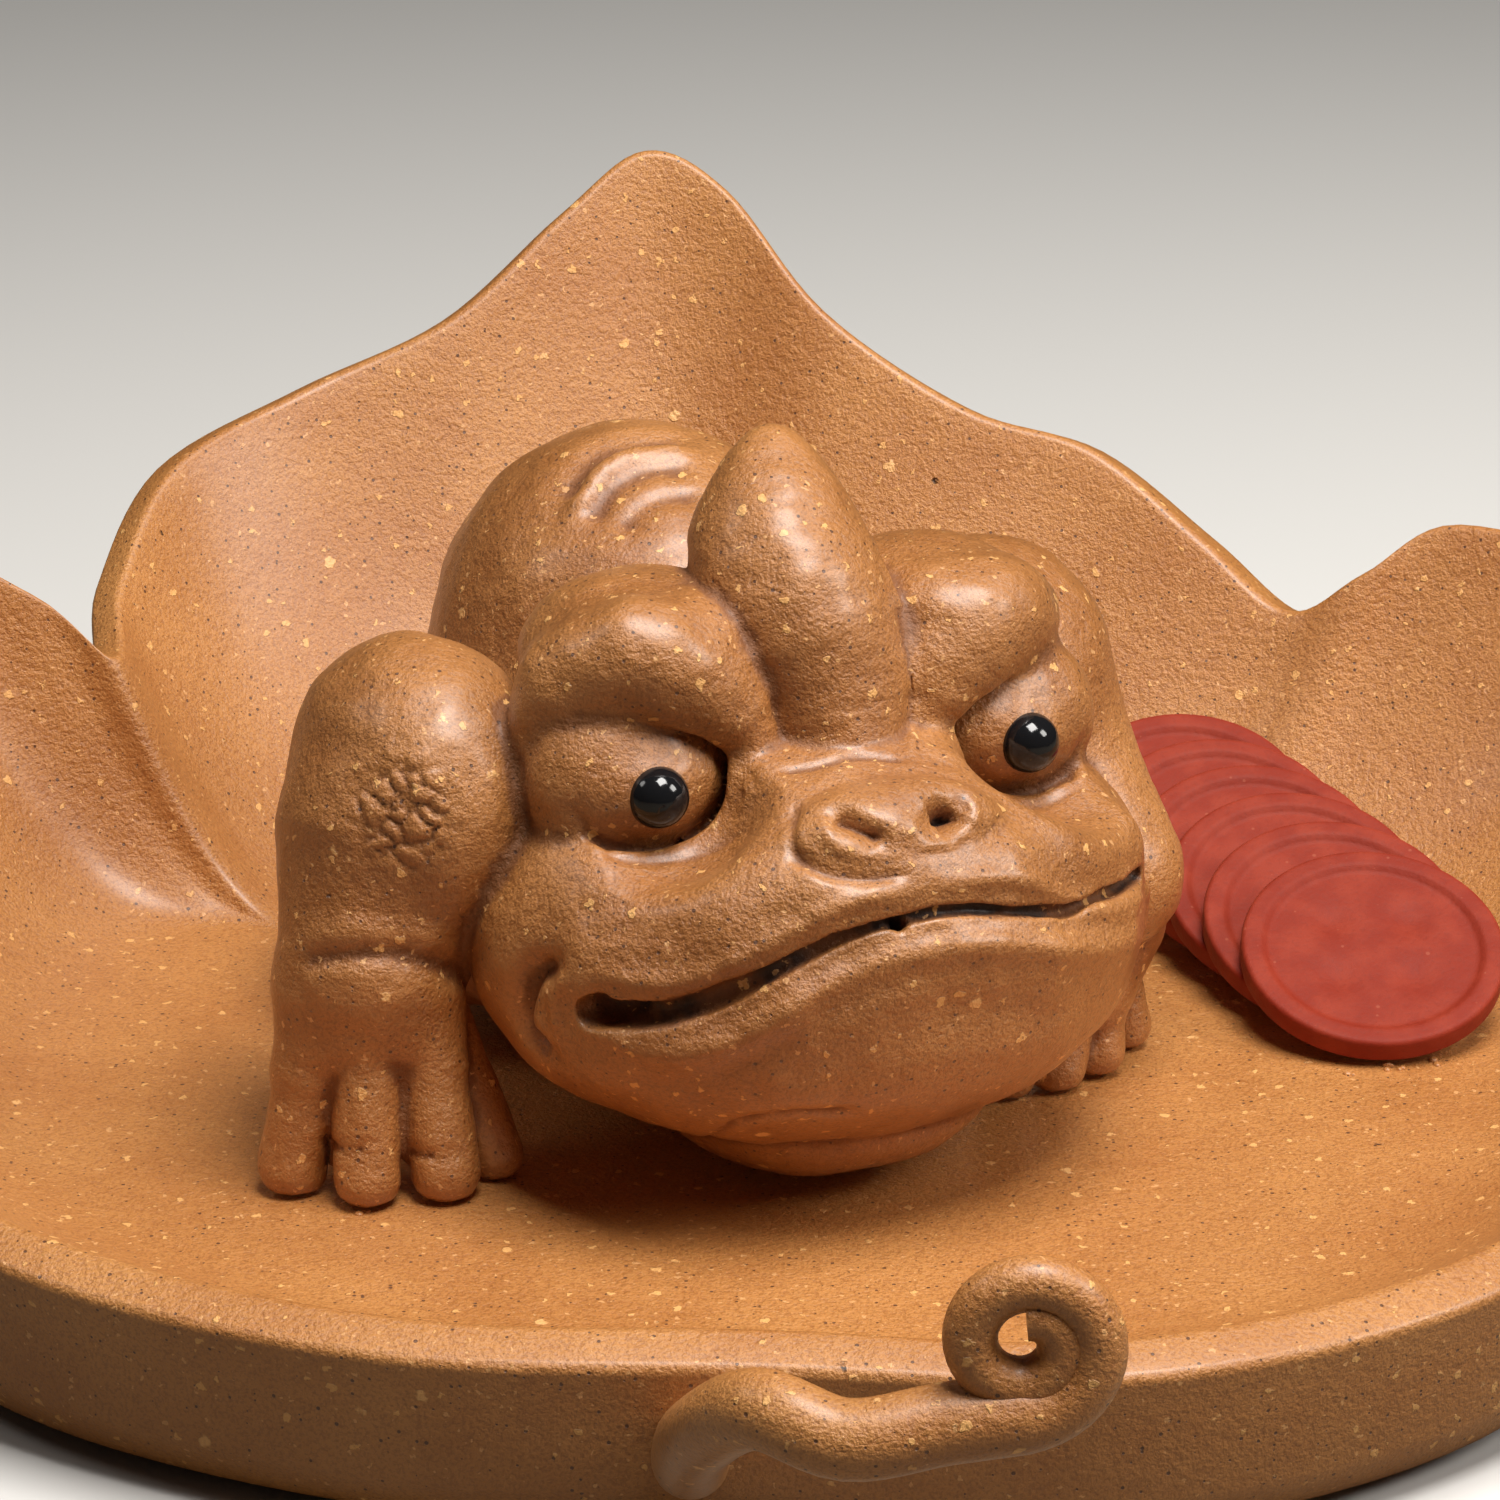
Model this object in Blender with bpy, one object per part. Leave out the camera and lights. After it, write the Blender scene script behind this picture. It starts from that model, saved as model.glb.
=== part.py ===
"""A clay tea pet: a horned toad crouching on a leaf dish, beside a row of coins.

The dish is one pressed leaf with a curled stalk, standing on a foot ring. The toad
is sculpted from the same clay. Its eyes are black beads, and the coins are cut from
red clay. Metres, +Z up, the leaf's tip towards +Y, the toad looking towards -Y.
"""

import math

import bmesh
import bpy
import numpy as np
from mathutils import Matrix, Vector

MM = 0.001
SEAT_GAP = 0.3 * MM  # between a piece and what it sits on

# The leaf dish
DISH_WIDTH = 128 * MM  # across the two side lobes
TIP_RISE = 43 * MM  # the leaf's tip above the floor of the dish
FLOOR_HEIGHT = 8 * MM  # the floor of the dish above the table
WALL = 3.2 * MM
RIM_ROUND = 0.8 * MM
RIM_LEAN = math.radians(70)  # the edge is cut across the wall, 20 degrees off level
SKIRT = 5.5 * MM  # how much deeper the outside runs where the rim is low
FOOT_RADIUS = 33 * MM
FOOT_WIDTH = 5 * MM
FOOT_BITE = 1 * MM  # how far the foot ring is pressed into the dish

# The stalk
STALK_RADIUS = 2.3 * MM
CURL_WIRE = 1.4 * MM  # radius of the stalk where it curls
CURL_RADIUS = 4.0 * MM  # from the curl's middle to the middle of its outer turn
CURL_TURNS = 1.5

# The toad
TOAD_LENGTH = 66 * MM  # lower lip to rump
TOAD_YAW = math.radians(23)  # from the leaf's axis, towards the coins
BEAD_RADIUS = 1.9 * MM

# The coins
COIN_COUNT = 6
COIN_RADIUS = 8.5 * MM
COIN_THICKNESS = 1.8 * MM
COIN_RIM = 1.3 * MM
COIN_RELIEF = 0.35 * MM
COIN_DENT = 1.5 * MM  # radius of each of the four soft dents in a coin's field
COIN_DENT_PLACE = 3.5 * MM  # from the coin's middle
COIN_TILT = math.radians(25)  # the front coin, leaning back on the next
COIN_FAN = math.radians(0.6)  # how much steeper each next one stands
COIN_SIDESTEP = 2.0 * MM
COIN_PLACE = (34.8 * MM, 15.5 * MM)  # where the front coin's edge meets the floor

CLAY = (0.36, 0.17, 0.06)
RED_CLAY = (0.42, 0.06, 0.03)
BLACK = (0.006, 0.006, 0.007)

# The leaf's outline, counterclockwise from the stalk: x, y, height of the rim above
# the floor, and how far out the floor stays flat. It is drawn 128 wide and 43 high,
# round the point where the toad's chin rests.
OUTLINE_WIDTH = 128
OUTLINE_RISE = 43
OUTLINE_MIDDLE = (-6, 20)
OUTLINE = [
    (-5, -31.5, 5, 0.8),
    (16, -32.5, 5, 0.8),
    (36, -22.5, 5.5, 0.8),
    (50, -5, 8, 0.76),
    (58, 14, 12, 0.74),
    (60, 33, 17, 0.72),
    (55, 49, 21.5, 0.7),
    (44, 58, 22.8, 0.68),
    (37.5, 58, 19.2, 0.7),
    (32.5, 60, 15.8, 0.72),
    (26.5, 64, 20, 0.66),
    (19, 69, 25, 0.6),
    (10, 72, 27.2, 0.56),
    (0, 77, 33, 0.54),
    (-7, 83, 40.5, 0.53),
    (-13, 85, 43, 0.53),
    (-19, 82, 39, 0.53),
    (-27, 77, 32.5, 0.54),
    (-37, 73, 28.5, 0.56),
    (-46, 65, 25, 0.6),
    (-49, 55, 19.5, 0.66),
    (-48.5, 47, 16.8, 0.7),
    (-54, 48, 21, 0.68),
    (-63, 46, 25, 0.68),
    (-68, 30, 20, 0.7),
    (-66, 9, 14, 0.74),
    (-58, -9, 8, 0.77),
    (-45, -21, 5.5, 0.8),
    (-25, -30, 5, 0.8),
]
SEGMENTS = 3  # round the dish, between two points of the outline
RINGS = 10
FIRST_RING = 0.45  # share of the way out, where the floor is still flat
WALL_CURVE = 2.0  # how the wall steepens towards the rim
SKIRT_RIMS = (5, 13)  # rim heights that get the whole skirt and none

# The stalk's course from under the rim to the foot of its curl: x, y, height
# above the floor
STALK_COURSE = [(-8, -24, -1.5), (-8.5, -36, -0.5), (-8, -45, 5.5), (-5, -51, 10.2), (-0.5, -53.2, 9.6),
                (4.5, -53, 10.4)]
CURL_MIDDLE = (8.4, -53, 15)

# The toad's lumps of clay in its own frame: x to its left, y to its tail, z up from
# the floor, drawn 66 long. An egg is a centre and three radii, then its turn about
# Z. A roll runs through knots of x, y, z and radius.
DRAWN_LENGTH = 66
BEAD_PLACE = (11.9, -0.8, 26.1)


def egg(centre, radii, turn=0):
    return ("egg", np.array(centre, float), np.array(radii, float), math.radians(turn))


def roll(*knots):
    return ("roll", np.array(knots, float))


def mirrored(shape):
    flip = np.array([-1, 1, 1])
    if shape[0] == "egg":
        return ("egg", shape[1] * flip, shape[2], -shape[3])
    return ("roll", shape[1] * np.array([-1, 1, 1, 1]))


def both(shape):
    return [shape, mirrored(shape)]


def toes(tops, tips, radius):
    return [roll((*top, radius), (*tip, radius * 0.85)) for top, tip in zip(tops, tips)]


BODY = [
    (0, [egg((0, 27, 12.5), (19, 21, 13))]),
    (5, [egg((0, 31, 23), (13.5, 16, 15.2))]),
    (4, [egg((0, 16, 22), (14, 10, 9)), egg((0, 41, 10), (15, 10, 10))]),
    (3, both(egg((14.5, 35, 9.5), (7.5, 11, 9), 12))),
    (2, [roll((0, 44, 6, 6), (0, 49, 3, 3.2))]),
]
RIGHT_ARM = [
    (3, [egg((-21.3, 14, 23.3), (7.6, 10, 9))]),
    (2, [roll((-23.5, 12.5, 20, 7.2), (-26, 10.5, 14, 5.4))]),
    (0.8, [roll((-26.6, 10.5, 12, 4.9), (-26.6, 10, 9.6, 4.4))]),
    (0.6, toes([(-29.4, 10.6, 9.6), (-26.8, 8.8, 10), (-23.3, 8.4, 10), (-21.4, 10, 9.4)],
               [(-31.2, 10.2, 1.6), (-27.8, 6.8, 1.6), (-23, 5.8, 1.6), (-19, 7.4, 1.6)], 2.2)),
]
LEFT_ARM = [
    (3, [egg((17.5, 17, 24), (8, 9, 8.8))]),
    (2, [roll((19.5, 14, 19, 6.6), (21.8, 8, 13, 5.0))]),
    (0.8, [roll((22.2, 10, 9, 4.4), (20.4, 8.6, 6, 3.9))]),
    (0.6, toes([(23.4, 10.5, 6.5), (21.4, 8.4, 6.6), (19, 7.2, 6.6), (16.6, 7.6, 6.2)],
               [(24.4, 10.2, 1.6), (21, 7, 1.6), (17.6, 5.8, 1.6), (14.2, 6, 1.6)], 2.0)),
]
HEAD = [
    (2, [egg((0, 5, 15.8), (21.2, 17.6, 13.2))]),
    (3, [egg((0, 10, 24), (15, 11, 8))]),
    (3, [egg((0, -2.5, 21.3), (14.5, 9.4, 5.6))]),
    (3, [egg((0, 3.2, 12.6), (18.6, 15.6, 8.5))]),
    (2.5, [roll((-15.6, -3.4, 16.9, 2), (-9.6, -8.2, 19.5, 2.2), (-5.3, -10, 22.2, 2.2), (0, -10.4, 23, 2.2),
                (5, -9.9, 22.2, 2.2), (9.5, -8, 20.9, 2.2), (15.6, -3.8, 19.9, 2))]),
    (2.5, [roll((-15, -3.7, 13.4, 1.9), (-11.5, -7.4, 14, 2), (-7.2, -10.5, 16.2, 2), (1, -11.5, 18.4, 2),
                (7.4, -10.8, 17.2, 2), (13.6, -6.8, 16.4, 1.9))]),
    (1.5, [egg((0, -6, 24.2), (7.5, 4.6, 3.0))]),
    (0.6, [egg((-0.5, -8.4, 24.9), (7, 3.4, 2.9))]),
    (0.6, [egg((0.3, 3, 5), (10.4, 10, 4.8))]),
]
HORN = [(0.4, 1.4, 24, 3.4), (0.4, 2.4, 27.6, 4.2), (0.2, 3.4, 31, 5.2), (-0.7, 5.2, 34.4, 5.9),
        (-0.8, 7.6, 37.4, 5.2), (-0.4, 9.3, 39.9, 3.8), (0, 10.2, 41.8, 2.4)]
# brow ridges, then the brows' backs, their inner ends against the horn, and the horn
BROWS = [
    (1, [roll((-4.6, 0.9, 27, 1.5), (-6.8, 1.4, 30, 2.5), (-9.2, 2, 32.6, 3.1), (-12, 3, 33.7, 3.2),
              (-14.8, 5, 32.4, 3.0), (-15.8, 7.2, 29, 2.4)),
         roll((4.6, 0.9, 27, 1.5), (6.8, 1.4, 29.8, 2.5), (9, 2, 32.2, 3.0), (11, 3, 33.2, 3.1),
              (13, 5, 32, 3.0), (14, 7.2, 29.4, 2.4))]),
    (2, both(egg((9, 8, 31.6), (7.5, 8, 5)))),
    (1.2, both(roll((5.2, 2.6, 27.4, 1.9), (6.6, 3, 30.6, 3), (7.8, 4, 32.4, 3.8)))),
    (0.8, [roll(*HORN)]),
]
# a hollow beside the snout under each brow, the socket, its floor, and the eye's mound
SCOOPS = both(egg((13, -4.8, 27.6), (6.4, 5, 5), -23))
SOCKETS = both(egg((11.4, 2.6, 26), (6, 4.8, 4.5), -23))
FLOORS = both(egg((11.2, 6.6, 26), (7.6, 5.8, 6), -23))
EYELIDS = both(egg((11.3, 3.4, 26), (5.4, 4.6, 3.8), -23))
# the slit of the mouth, before it is laid on the head
MOUTH = [(-16.9, -4.5, 15, 1.1), (-13.6, -7.4, 15.8, 1.0), (-10.3, -10, 17.7, 0.85), (-5.8, -12, 20.4, 0.7),
         (-1.6, -12.4, 21.3, 0.7), (2.5, -12.3, 21.2, 0.7), (8.7, -10.8, 19.6, 0.7), (16.9, -5.6, 18.5, 0.9)]

SKIN_VOXELS = (1.0 * MM, 0.8 * MM, 0.65 * MM)  # the skin is made finer in steps
SKIN_FACES = 5900


def material(name, colour, roughness):
    made = bpy.data.materials.new(name)
    made.use_nodes = True
    shader = made.node_tree.nodes["Principled BSDF"]
    shader.inputs["Base Color"].default_value = (*colour, 1)
    shader.inputs["Roughness"].default_value = roughness
    shader.inputs["Metallic"].default_value = 0
    return made


def add_object(name, mesh):
    made = bpy.data.objects.new(name, mesh)
    bpy.context.scene.collection.objects.link(made)
    return made


def from_bmesh(name, bm, closed=True):
    if closed:
        bmesh.ops.recalc_face_normals(bm, faces=bm.faces)
    mesh = bpy.data.meshes.new(name)
    bm.to_mesh(mesh)
    bm.free()
    return add_object(name, mesh)


def apply_modifiers(thing):
    graph = bpy.context.evaluated_depsgraph_get()
    done = bpy.data.meshes.new_from_object(thing.evaluated_get(graph))
    thing.modifiers.clear()
    thing.data = done


def combine(thing, other, operation):
    """Adds or cuts another object's solid, which is used up."""
    modifier = thing.modifiers.new(operation, "BOOLEAN")
    modifier.operation = operation
    modifier.solver = "EXACT"
    modifier.object = other
    apply_modifiers(thing)
    bpy.data.objects.remove(other)


def finish(thing, clay, sharp=40):
    thing.data.materials.clear()
    thing.data.materials.append(clay)
    thing.data.shade_smooth()
    thing.data.set_sharp_from_angle(angle=math.radians(sharp))


def smooth_path(knots, steps, closed=False):
    """A Catmull-Rom curve through knots of any number of columns."""
    knots = np.array(knots, float)
    if closed:
        ends = np.vstack([knots[-1], knots, knots[0], knots[1]])
    else:
        ends = np.vstack([2 * knots[0] - knots[1], knots, 2 * knots[-1] - knots[-2]])
    t = (np.arange(steps) / steps)[:, None]
    spans = []
    for a, b, c, d in zip(ends, ends[1:], ends[2:], ends[3:]):
        bend = 2 * a - 5 * b + 4 * c - d
        twist = 3 * b - a - 3 * c + d
        spans.append(0.5 * (2 * b + (c - a) * t + bend * t**2 + twist * t**3))
    if not closed:
        spans.append(knots[-1:])
    return np.vstack(spans)


# Distances from points to the clay, in the toad's drawn units


def egg_distance(p, centre, radii, turn):
    q = p - centre
    c, s = math.cos(turn), math.sin(turn)
    q = q @ np.array([[c, -s, 0], [s, c, 0], [0, 0, 1]])
    near = np.linalg.norm(q / radii, axis=1)
    slope = np.linalg.norm(q / np.square(radii), axis=1)
    return near * (near - 1) / np.maximum(slope, 1e-9)


def roll_distance(p, knots):
    best = np.full(len(p), np.inf)
    for a, b in zip(knots, knots[1:]):
        along = b[:3] - a[:3]
        t = np.clip((p - a[:3]) @ along / (along @ along), 0, 1)
        reach = np.linalg.norm(p - a[:3] - t[:, None] * along, axis=1)
        best = np.minimum(best, reach - a[3] - (b[3] - a[3]) * t)
    return best


def distance(p, shape):
    return egg_distance(p, *shape[1:]) if shape[0] == "egg" else roll_distance(p, shape[1])


def join(a, b, soft):
    """Two lumps pressed together, with a fillet about this wide."""
    h = np.maximum(soft - np.abs(a - b), 0) / max(soft, 1e-9)
    return np.minimum(a, b) - h * h * soft / 4


def cut(a, b, soft):
    return -join(-a, b, soft)


def press(d, p, groups):
    for soft, shapes in groups:
        for shape in shapes:
            d = join(d, distance(p, shape), soft)
    return d


def head_distance(p):
    return press(np.full(len(p), 1e3), p, HEAD)


def slit():
    """The mouth's knots, moved level onto the head's surface."""
    knots = smooth_path(MOUTH, 2)
    p = knots[:, :3]
    step = 0.05
    for _ in range(6):
        d = head_distance(p)
        slope = np.stack([(head_distance(p + step * axis) - d) / step for axis in np.eye(3)[:2]], 1)
        p[:, :2] -= (d / (slope**2).sum(1))[:, None] * slope
    return roll(*knots)


def toad_distance(p):
    body = press(np.full(len(p), 1e3), p, BODY + LEFT_ARM + RIGHT_ARM)
    head = head_distance(p)
    for scoop in SCOOPS:
        head = cut(head, distance(p, scoop), 2)
    head = press(head, p, BROWS)
    for socket, bottom, lid in zip(SOCKETS, FLOORS, EYELIDS):
        head = cut(head, distance(p, socket), 1)
        head = join(head, distance(p, bottom), 1)
        head = join(head, distance(p, lid), 1)
    head = cut(head, distance(p, MOUTH_SLIT), 0.8)
    return join(body, head, 1)


MOUTH_SLIT = slit()


def settle(mesh, unit):
    """Moves each point of the skin onto the toad's smooth surface."""
    flat = np.empty(len(mesh.vertices) * 3, np.float32)
    mesh.vertices.foreach_get("co", flat)
    p = flat.reshape(-1, 3).astype(float) / unit
    step = 0.04
    for _ in range(4):
        d = toad_distance(p)
        ahead = np.stack([toad_distance(p + step * axis) for axis in np.eye(3)], 1)
        back = np.stack([toad_distance(p - step * axis) for axis in np.eye(3)], 1)
        slope = (ahead - back) / (2 * step)
        size = np.maximum((slope**2).sum(1), 0.2)
        p -= (np.clip(d, -0.8, 0.8) / size)[:, None] * slope
    mesh.vertices.foreach_set("co", (p * unit).astype(np.float32).ravel())
    mesh.update()


def lump_solid(bm, shape):
    if shape[0] == "egg":
        _, centre, radii, turn = shape
        place = Matrix.Translation(centre) @ Matrix.Rotation(turn, 4, "Z") @ Matrix.Diagonal((*radii, 1))
        bmesh.ops.create_icosphere(bm, subdivisions=3, radius=1, matrix=place)
        return
    for a, b in zip(shape[1], shape[1][1:]):
        pellets = 2 + int(2 * np.linalg.norm(b[:3] - a[:3]) / min(a[3], b[3]))
        for share in np.linspace(0, 1, pellets):
            x, y, z, r = a + (b - a) * share
            bmesh.ops.create_icosphere(bm, subdivisions=2, radius=r, matrix=Matrix.Translation((x, y, z)))


def make_toad(clay):
    unit = TOAD_LENGTH / DRAWN_LENGTH
    bm = bmesh.new()
    for soft, shapes in BODY + LEFT_ARM + RIGHT_ARM + HEAD + BROWS + [(0, EYELIDS)]:
        for shape in shapes:
            lump_solid(bm, shape)
    bmesh.ops.scale(bm, vec=(unit, unit, unit), verts=bm.verts)
    toad = from_bmesh("toad", bm)
    for voxel in SKIN_VOXELS:
        remesh = toad.modifiers.new("one_skin", "REMESH")
        remesh.mode = "VOXEL"
        remesh.voxel_size = voxel
        apply_modifiers(toad)
        settle(toad.data, unit)
    thin = toad.modifiers.new("fewer_faces", "DECIMATE")
    thin.ratio = SKIN_FACES / sum(len(face.vertices) - 2 for face in toad.data.polygons)
    apply_modifiers(toad)

    # its underside is pressed flat, and each bead gets a seat
    bm = bmesh.new()
    slab = Matrix.Translation((0, TOAD_LENGTH / 2, SEAT_GAP - TOAD_LENGTH))
    bmesh.ops.create_cube(bm, size=2 * TOAD_LENGTH, matrix=slab)
    combine(toad, from_bmesh("slab", bm), "DIFFERENCE")
    for side in (-1, 1):
        bm = bmesh.new()
        place = Matrix.Translation((side * BEAD_PLACE[0] * unit, BEAD_PLACE[1] * unit, BEAD_PLACE[2] * unit))
        bmesh.ops.create_icosphere(bm, subdivisions=3, radius=BEAD_RADIUS + SEAT_GAP, matrix=place)
        combine(toad, from_bmesh("seat", bm), "DIFFERENCE")
    toad.data.transform(Matrix.Rotation(TOAD_YAW, 4, "Z"))
    finish(toad, clay)
    return toad


def make_bead(name, side, black):
    unit = TOAD_LENGTH / DRAWN_LENGTH
    bm = bmesh.new()
    place = Matrix.Rotation(TOAD_YAW, 4, "Z") @ Matrix.Translation(
        (side * BEAD_PLACE[0] * unit, BEAD_PLACE[1] * unit, BEAD_PLACE[2] * unit)
    )
    bmesh.ops.create_uvsphere(bm, u_segments=14, v_segments=9, radius=BEAD_RADIUS, matrix=place)
    bead = from_bmesh(name, bm)
    finish(bead, black)
    return bead


def soft_step(x, low, high):
    t = np.clip((x - low) / (high - low), 0, 1)
    return t * t * (3 - 2 * t)


def leaf_rings(middle, across, rise):
    """The inside of the leaf and the outside, as rings of points from the floor to the rim."""
    rim = smooth_path(OUTLINE, SEGMENTS, closed=True)
    spokes = rim[:, :2] * across - middle
    length = np.linalg.norm(spokes, axis=1)
    height, flat = rim[:, 2] * rise, rim[:, 3]
    low_rim = 1 - soft_step(rim[:, 2], *SKIRT_RIMS)
    inside, outside = [], []
    for share in FIRST_RING + (1 - FIRST_RING) * (1 - np.linspace(1, 0, RINGS) ** 1.4):
        climb = np.clip((share - flat) / (1 - flat), 0, None)
        z = height * climb**WALL_CURVE
        lean = np.arctan(height * WALL_CURVE * climb ** (WALL_CURVE - 1) / ((1 - flat) * length))
        lean += (RIM_LEAN - lean) * share**30
        skirt = low_rim * soft_step(share, flat - 0.12, 0.93) * (1 - soft_step(share, 0.965, 1))
        away = 1 + (WALL * np.sin(lean) + 0.8 * skirt * (1 - share) * length) / (length * share)
        inside.append(np.column_stack([middle + spokes * share, z]))
        under = z - np.cos(lean) * WALL - skirt * SKIRT
        outside.append(np.column_stack([middle + spokes * share * away[:, None], under]))
    return inside, outside


def make_dish(clay):
    across = DISH_WIDTH / OUTLINE_WIDTH
    middle = np.array(OUTLINE_MIDDLE) * across
    inside, outside = leaf_rings(middle, across, TIP_RISE / OUTLINE_RISE)
    bm = bmesh.new()
    rings = [[bm.verts.new(point) for point in ring] for ring in inside + outside[::-1]]
    bm.faces.new(rings[0])
    bm.faces.new(rings[-1])
    for one, two in zip(rings, rings[1:]):
        for i in range(len(one)):
            j = (i + 1) % len(one)
            bm.faces.new((one[i], two[i], two[j], one[j]))
    lips = []
    for ring in rings[RINGS - 1 : RINGS + 1]:
        lips += [bm.edges.get((ring[i - 1], ring[i])) for i in range(len(ring))]
    bmesh.ops.bevel(bm, geom=lips, offset=RIM_ROUND, segments=2, profile=0.5, affect="EDGES")
    dish = from_bmesh("leaf_dish", bm)
    combine(dish, make_foot(middle), "UNION")
    combine(dish, make_stalk(across), "UNION")
    finish(dish, clay)
    return dish


def make_foot(middle):
    """The foot ring, turned from a rectangle, down to the table."""
    bottom, top = -FLOOR_HEIGHT, FOOT_BITE - WALL
    inner, outer = FOOT_RADIUS - FOOT_WIDTH, FOOT_RADIUS
    bm = bmesh.new()
    corners = [(inner, 0, bottom), (outer, 0, bottom), (outer, 0, top), (inner, 0, top)]
    verts = [bm.verts.new(corner) for corner in corners]
    edges = [bm.edges.new((verts[i], verts[(i + 1) % 4])) for i in range(4)]
    bmesh.ops.spin(bm, geom=verts + edges, axis=(0, 0, 1), steps=40, angle=math.tau, use_duplicate=False)
    bmesh.ops.remove_doubles(bm, verts=bm.verts, dist=0.01 * MM)
    bmesh.ops.translate(bm, vec=(*middle, 0), verts=bm.verts)
    return from_bmesh("foot", bm)


def make_stalk(across):
    """The stalk, out from under the rim and up into a flat spiral."""
    course = smooth_path([(*(np.array(place) * across), STALK_RADIUS) for place in STALK_COURSE], 4)
    turn = np.linspace(0, CURL_TURNS * math.tau, int(CURL_TURNS * 14))
    shrink = 1 - 0.62 * turn / turn[-1]
    curl = np.stack(
        [
            CURL_MIDDLE[0] * across + CURL_RADIUS * shrink * np.sin(turn),
            np.full(len(turn), CURL_MIDDLE[1] * across),
            CURL_MIDDLE[2] * across - CURL_RADIUS * shrink * np.cos(turn),
            CURL_WIRE + (STALK_RADIUS - CURL_WIRE) * np.exp(-turn),
        ],
        1,
    )
    path = np.vstack([course, curl])
    curve = bpy.data.curves.new("stalk", "CURVE")
    curve.dimensions = "3D"
    curve.bevel_depth = 1
    curve.bevel_resolution = 2
    curve.use_fill_caps = True
    spline = curve.splines.new("POLY")
    spline.points.add(len(path) - 1)
    for point, (x, y, z, radius) in zip(spline.points, path):
        point.co = (x, y, z, 1)
        point.radius = radius
    stalk = add_object("stalk", curve)
    graph = bpy.context.evaluated_depsgraph_get()
    solid = add_object("stalk_solid", bpy.data.meshes.new_from_object(stalk.evaluated_get(graph)))
    bpy.data.objects.remove(stalk)
    return solid


def make_coin(name, red):
    """A coin lying at the origin, its raised side up."""
    top = COIN_THICKNESS
    low = COIN_THICKNESS - COIN_RELIEF
    soft = 0.3 * MM
    inside = COIN_RADIUS - COIN_RIM
    profile = [
        (0, 0), (COIN_RADIUS - soft, 0), (COIN_RADIUS, soft), (COIN_RADIUS, top - soft),
        (COIN_RADIUS - soft, top), (inside, top), (inside - COIN_RELIEF, low), (0, low),
    ]
    bm = bmesh.new()
    verts = [bm.verts.new((x, 0, z)) for x, z in profile]
    edges = [bm.edges.new(pair) for pair in zip(verts, verts[1:])]
    bmesh.ops.spin(bm, geom=verts + edges, axis=(0, 0, 1), steps=24, angle=math.tau, use_duplicate=False)
    bmesh.ops.remove_doubles(bm, verts=bm.verts, dist=0.01 * MM)
    coin = from_bmesh(name, bm)
    ball = COIN_DENT * 2
    lift = math.sqrt(ball**2 - COIN_DENT**2)
    for quarter in range(4):
        turn = (quarter + 0.5) * math.pi / 2
        place = (COIN_DENT_PLACE * math.cos(turn), COIN_DENT_PLACE * math.sin(turn), low + lift)
        bm = bmesh.new()
        bmesh.ops.create_icosphere(bm, subdivisions=2, radius=ball, matrix=Matrix.Translation(place))
        combine(coin, from_bmesh("dent", bm), "DIFFERENCE")
    finish(coin, red)
    return coin


def make_coins(red):
    """The row of coins, each leaning on the one behind it."""
    x, y = COIN_PLACE
    tilt = COIN_TILT
    for number in range(1, COIN_COUNT + 1):
        coin = make_coin(f"coin_{number}", red)
        lift = Matrix.Translation((0, COIN_RADIUS, 0))
        coin.data.transform(Matrix.Translation((x, y, SEAT_GAP)) @ Matrix.Rotation(tilt, 4, "X") @ lift)
        behind = tilt + COIN_FAN
        stride = (COIN_THICKNESS + SEAT_GAP + 2 * COIN_RADIUS * math.sin(behind - tilt)) / math.sin(behind)
        x -= COIN_SIDESTEP
        y += stride
        tilt = behind


def centre_on_table():
    """Stands the finished piece on Z = 0, its box centred on the Z axis."""
    solids = list(bpy.context.scene.objects)
    corners = np.array([v.co for solid in solids for v in solid.data.vertices])
    low, high = corners.min(0), corners.max(0)
    shift = Matrix.Translation((-(low[0] + high[0]) / 2, -(low[1] + high[1]) / 2, FLOOR_HEIGHT))
    for solid in solids:
        solid.data.transform(shift)


for old in list(bpy.data.objects):
    bpy.data.objects.remove(old)

speckled = material("speckled_clay", CLAY, 0.5)
make_dish(speckled)
make_toad(speckled)
black = material("black_glaze", BLACK, 0.12)
make_bead("eye_left", 1, black)
make_bead("eye_right", -1, black)
make_coins(material("red_clay", RED_CLAY, 0.6))
centre_on_table()
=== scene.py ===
# %% [markdown]
# # A clay toad on a leaf dish
#
# This is a tea pet, a small ornament of unglazed clay that stands on a tea tray. A horned
# toad crouches on a dish in the shape of a leaf, beside a row of red coins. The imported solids
# give every piece its place and size. Here each one gets the surface of the real clay: the
# toad is sculpted anew over its solid, the dish is drawn as a fine sheet, and small things
# that repeat are made by Geometry Nodes.

import math

import bmesh
import bpy
import numpy as np
from mathutils import Matrix, Vector, noise


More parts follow.
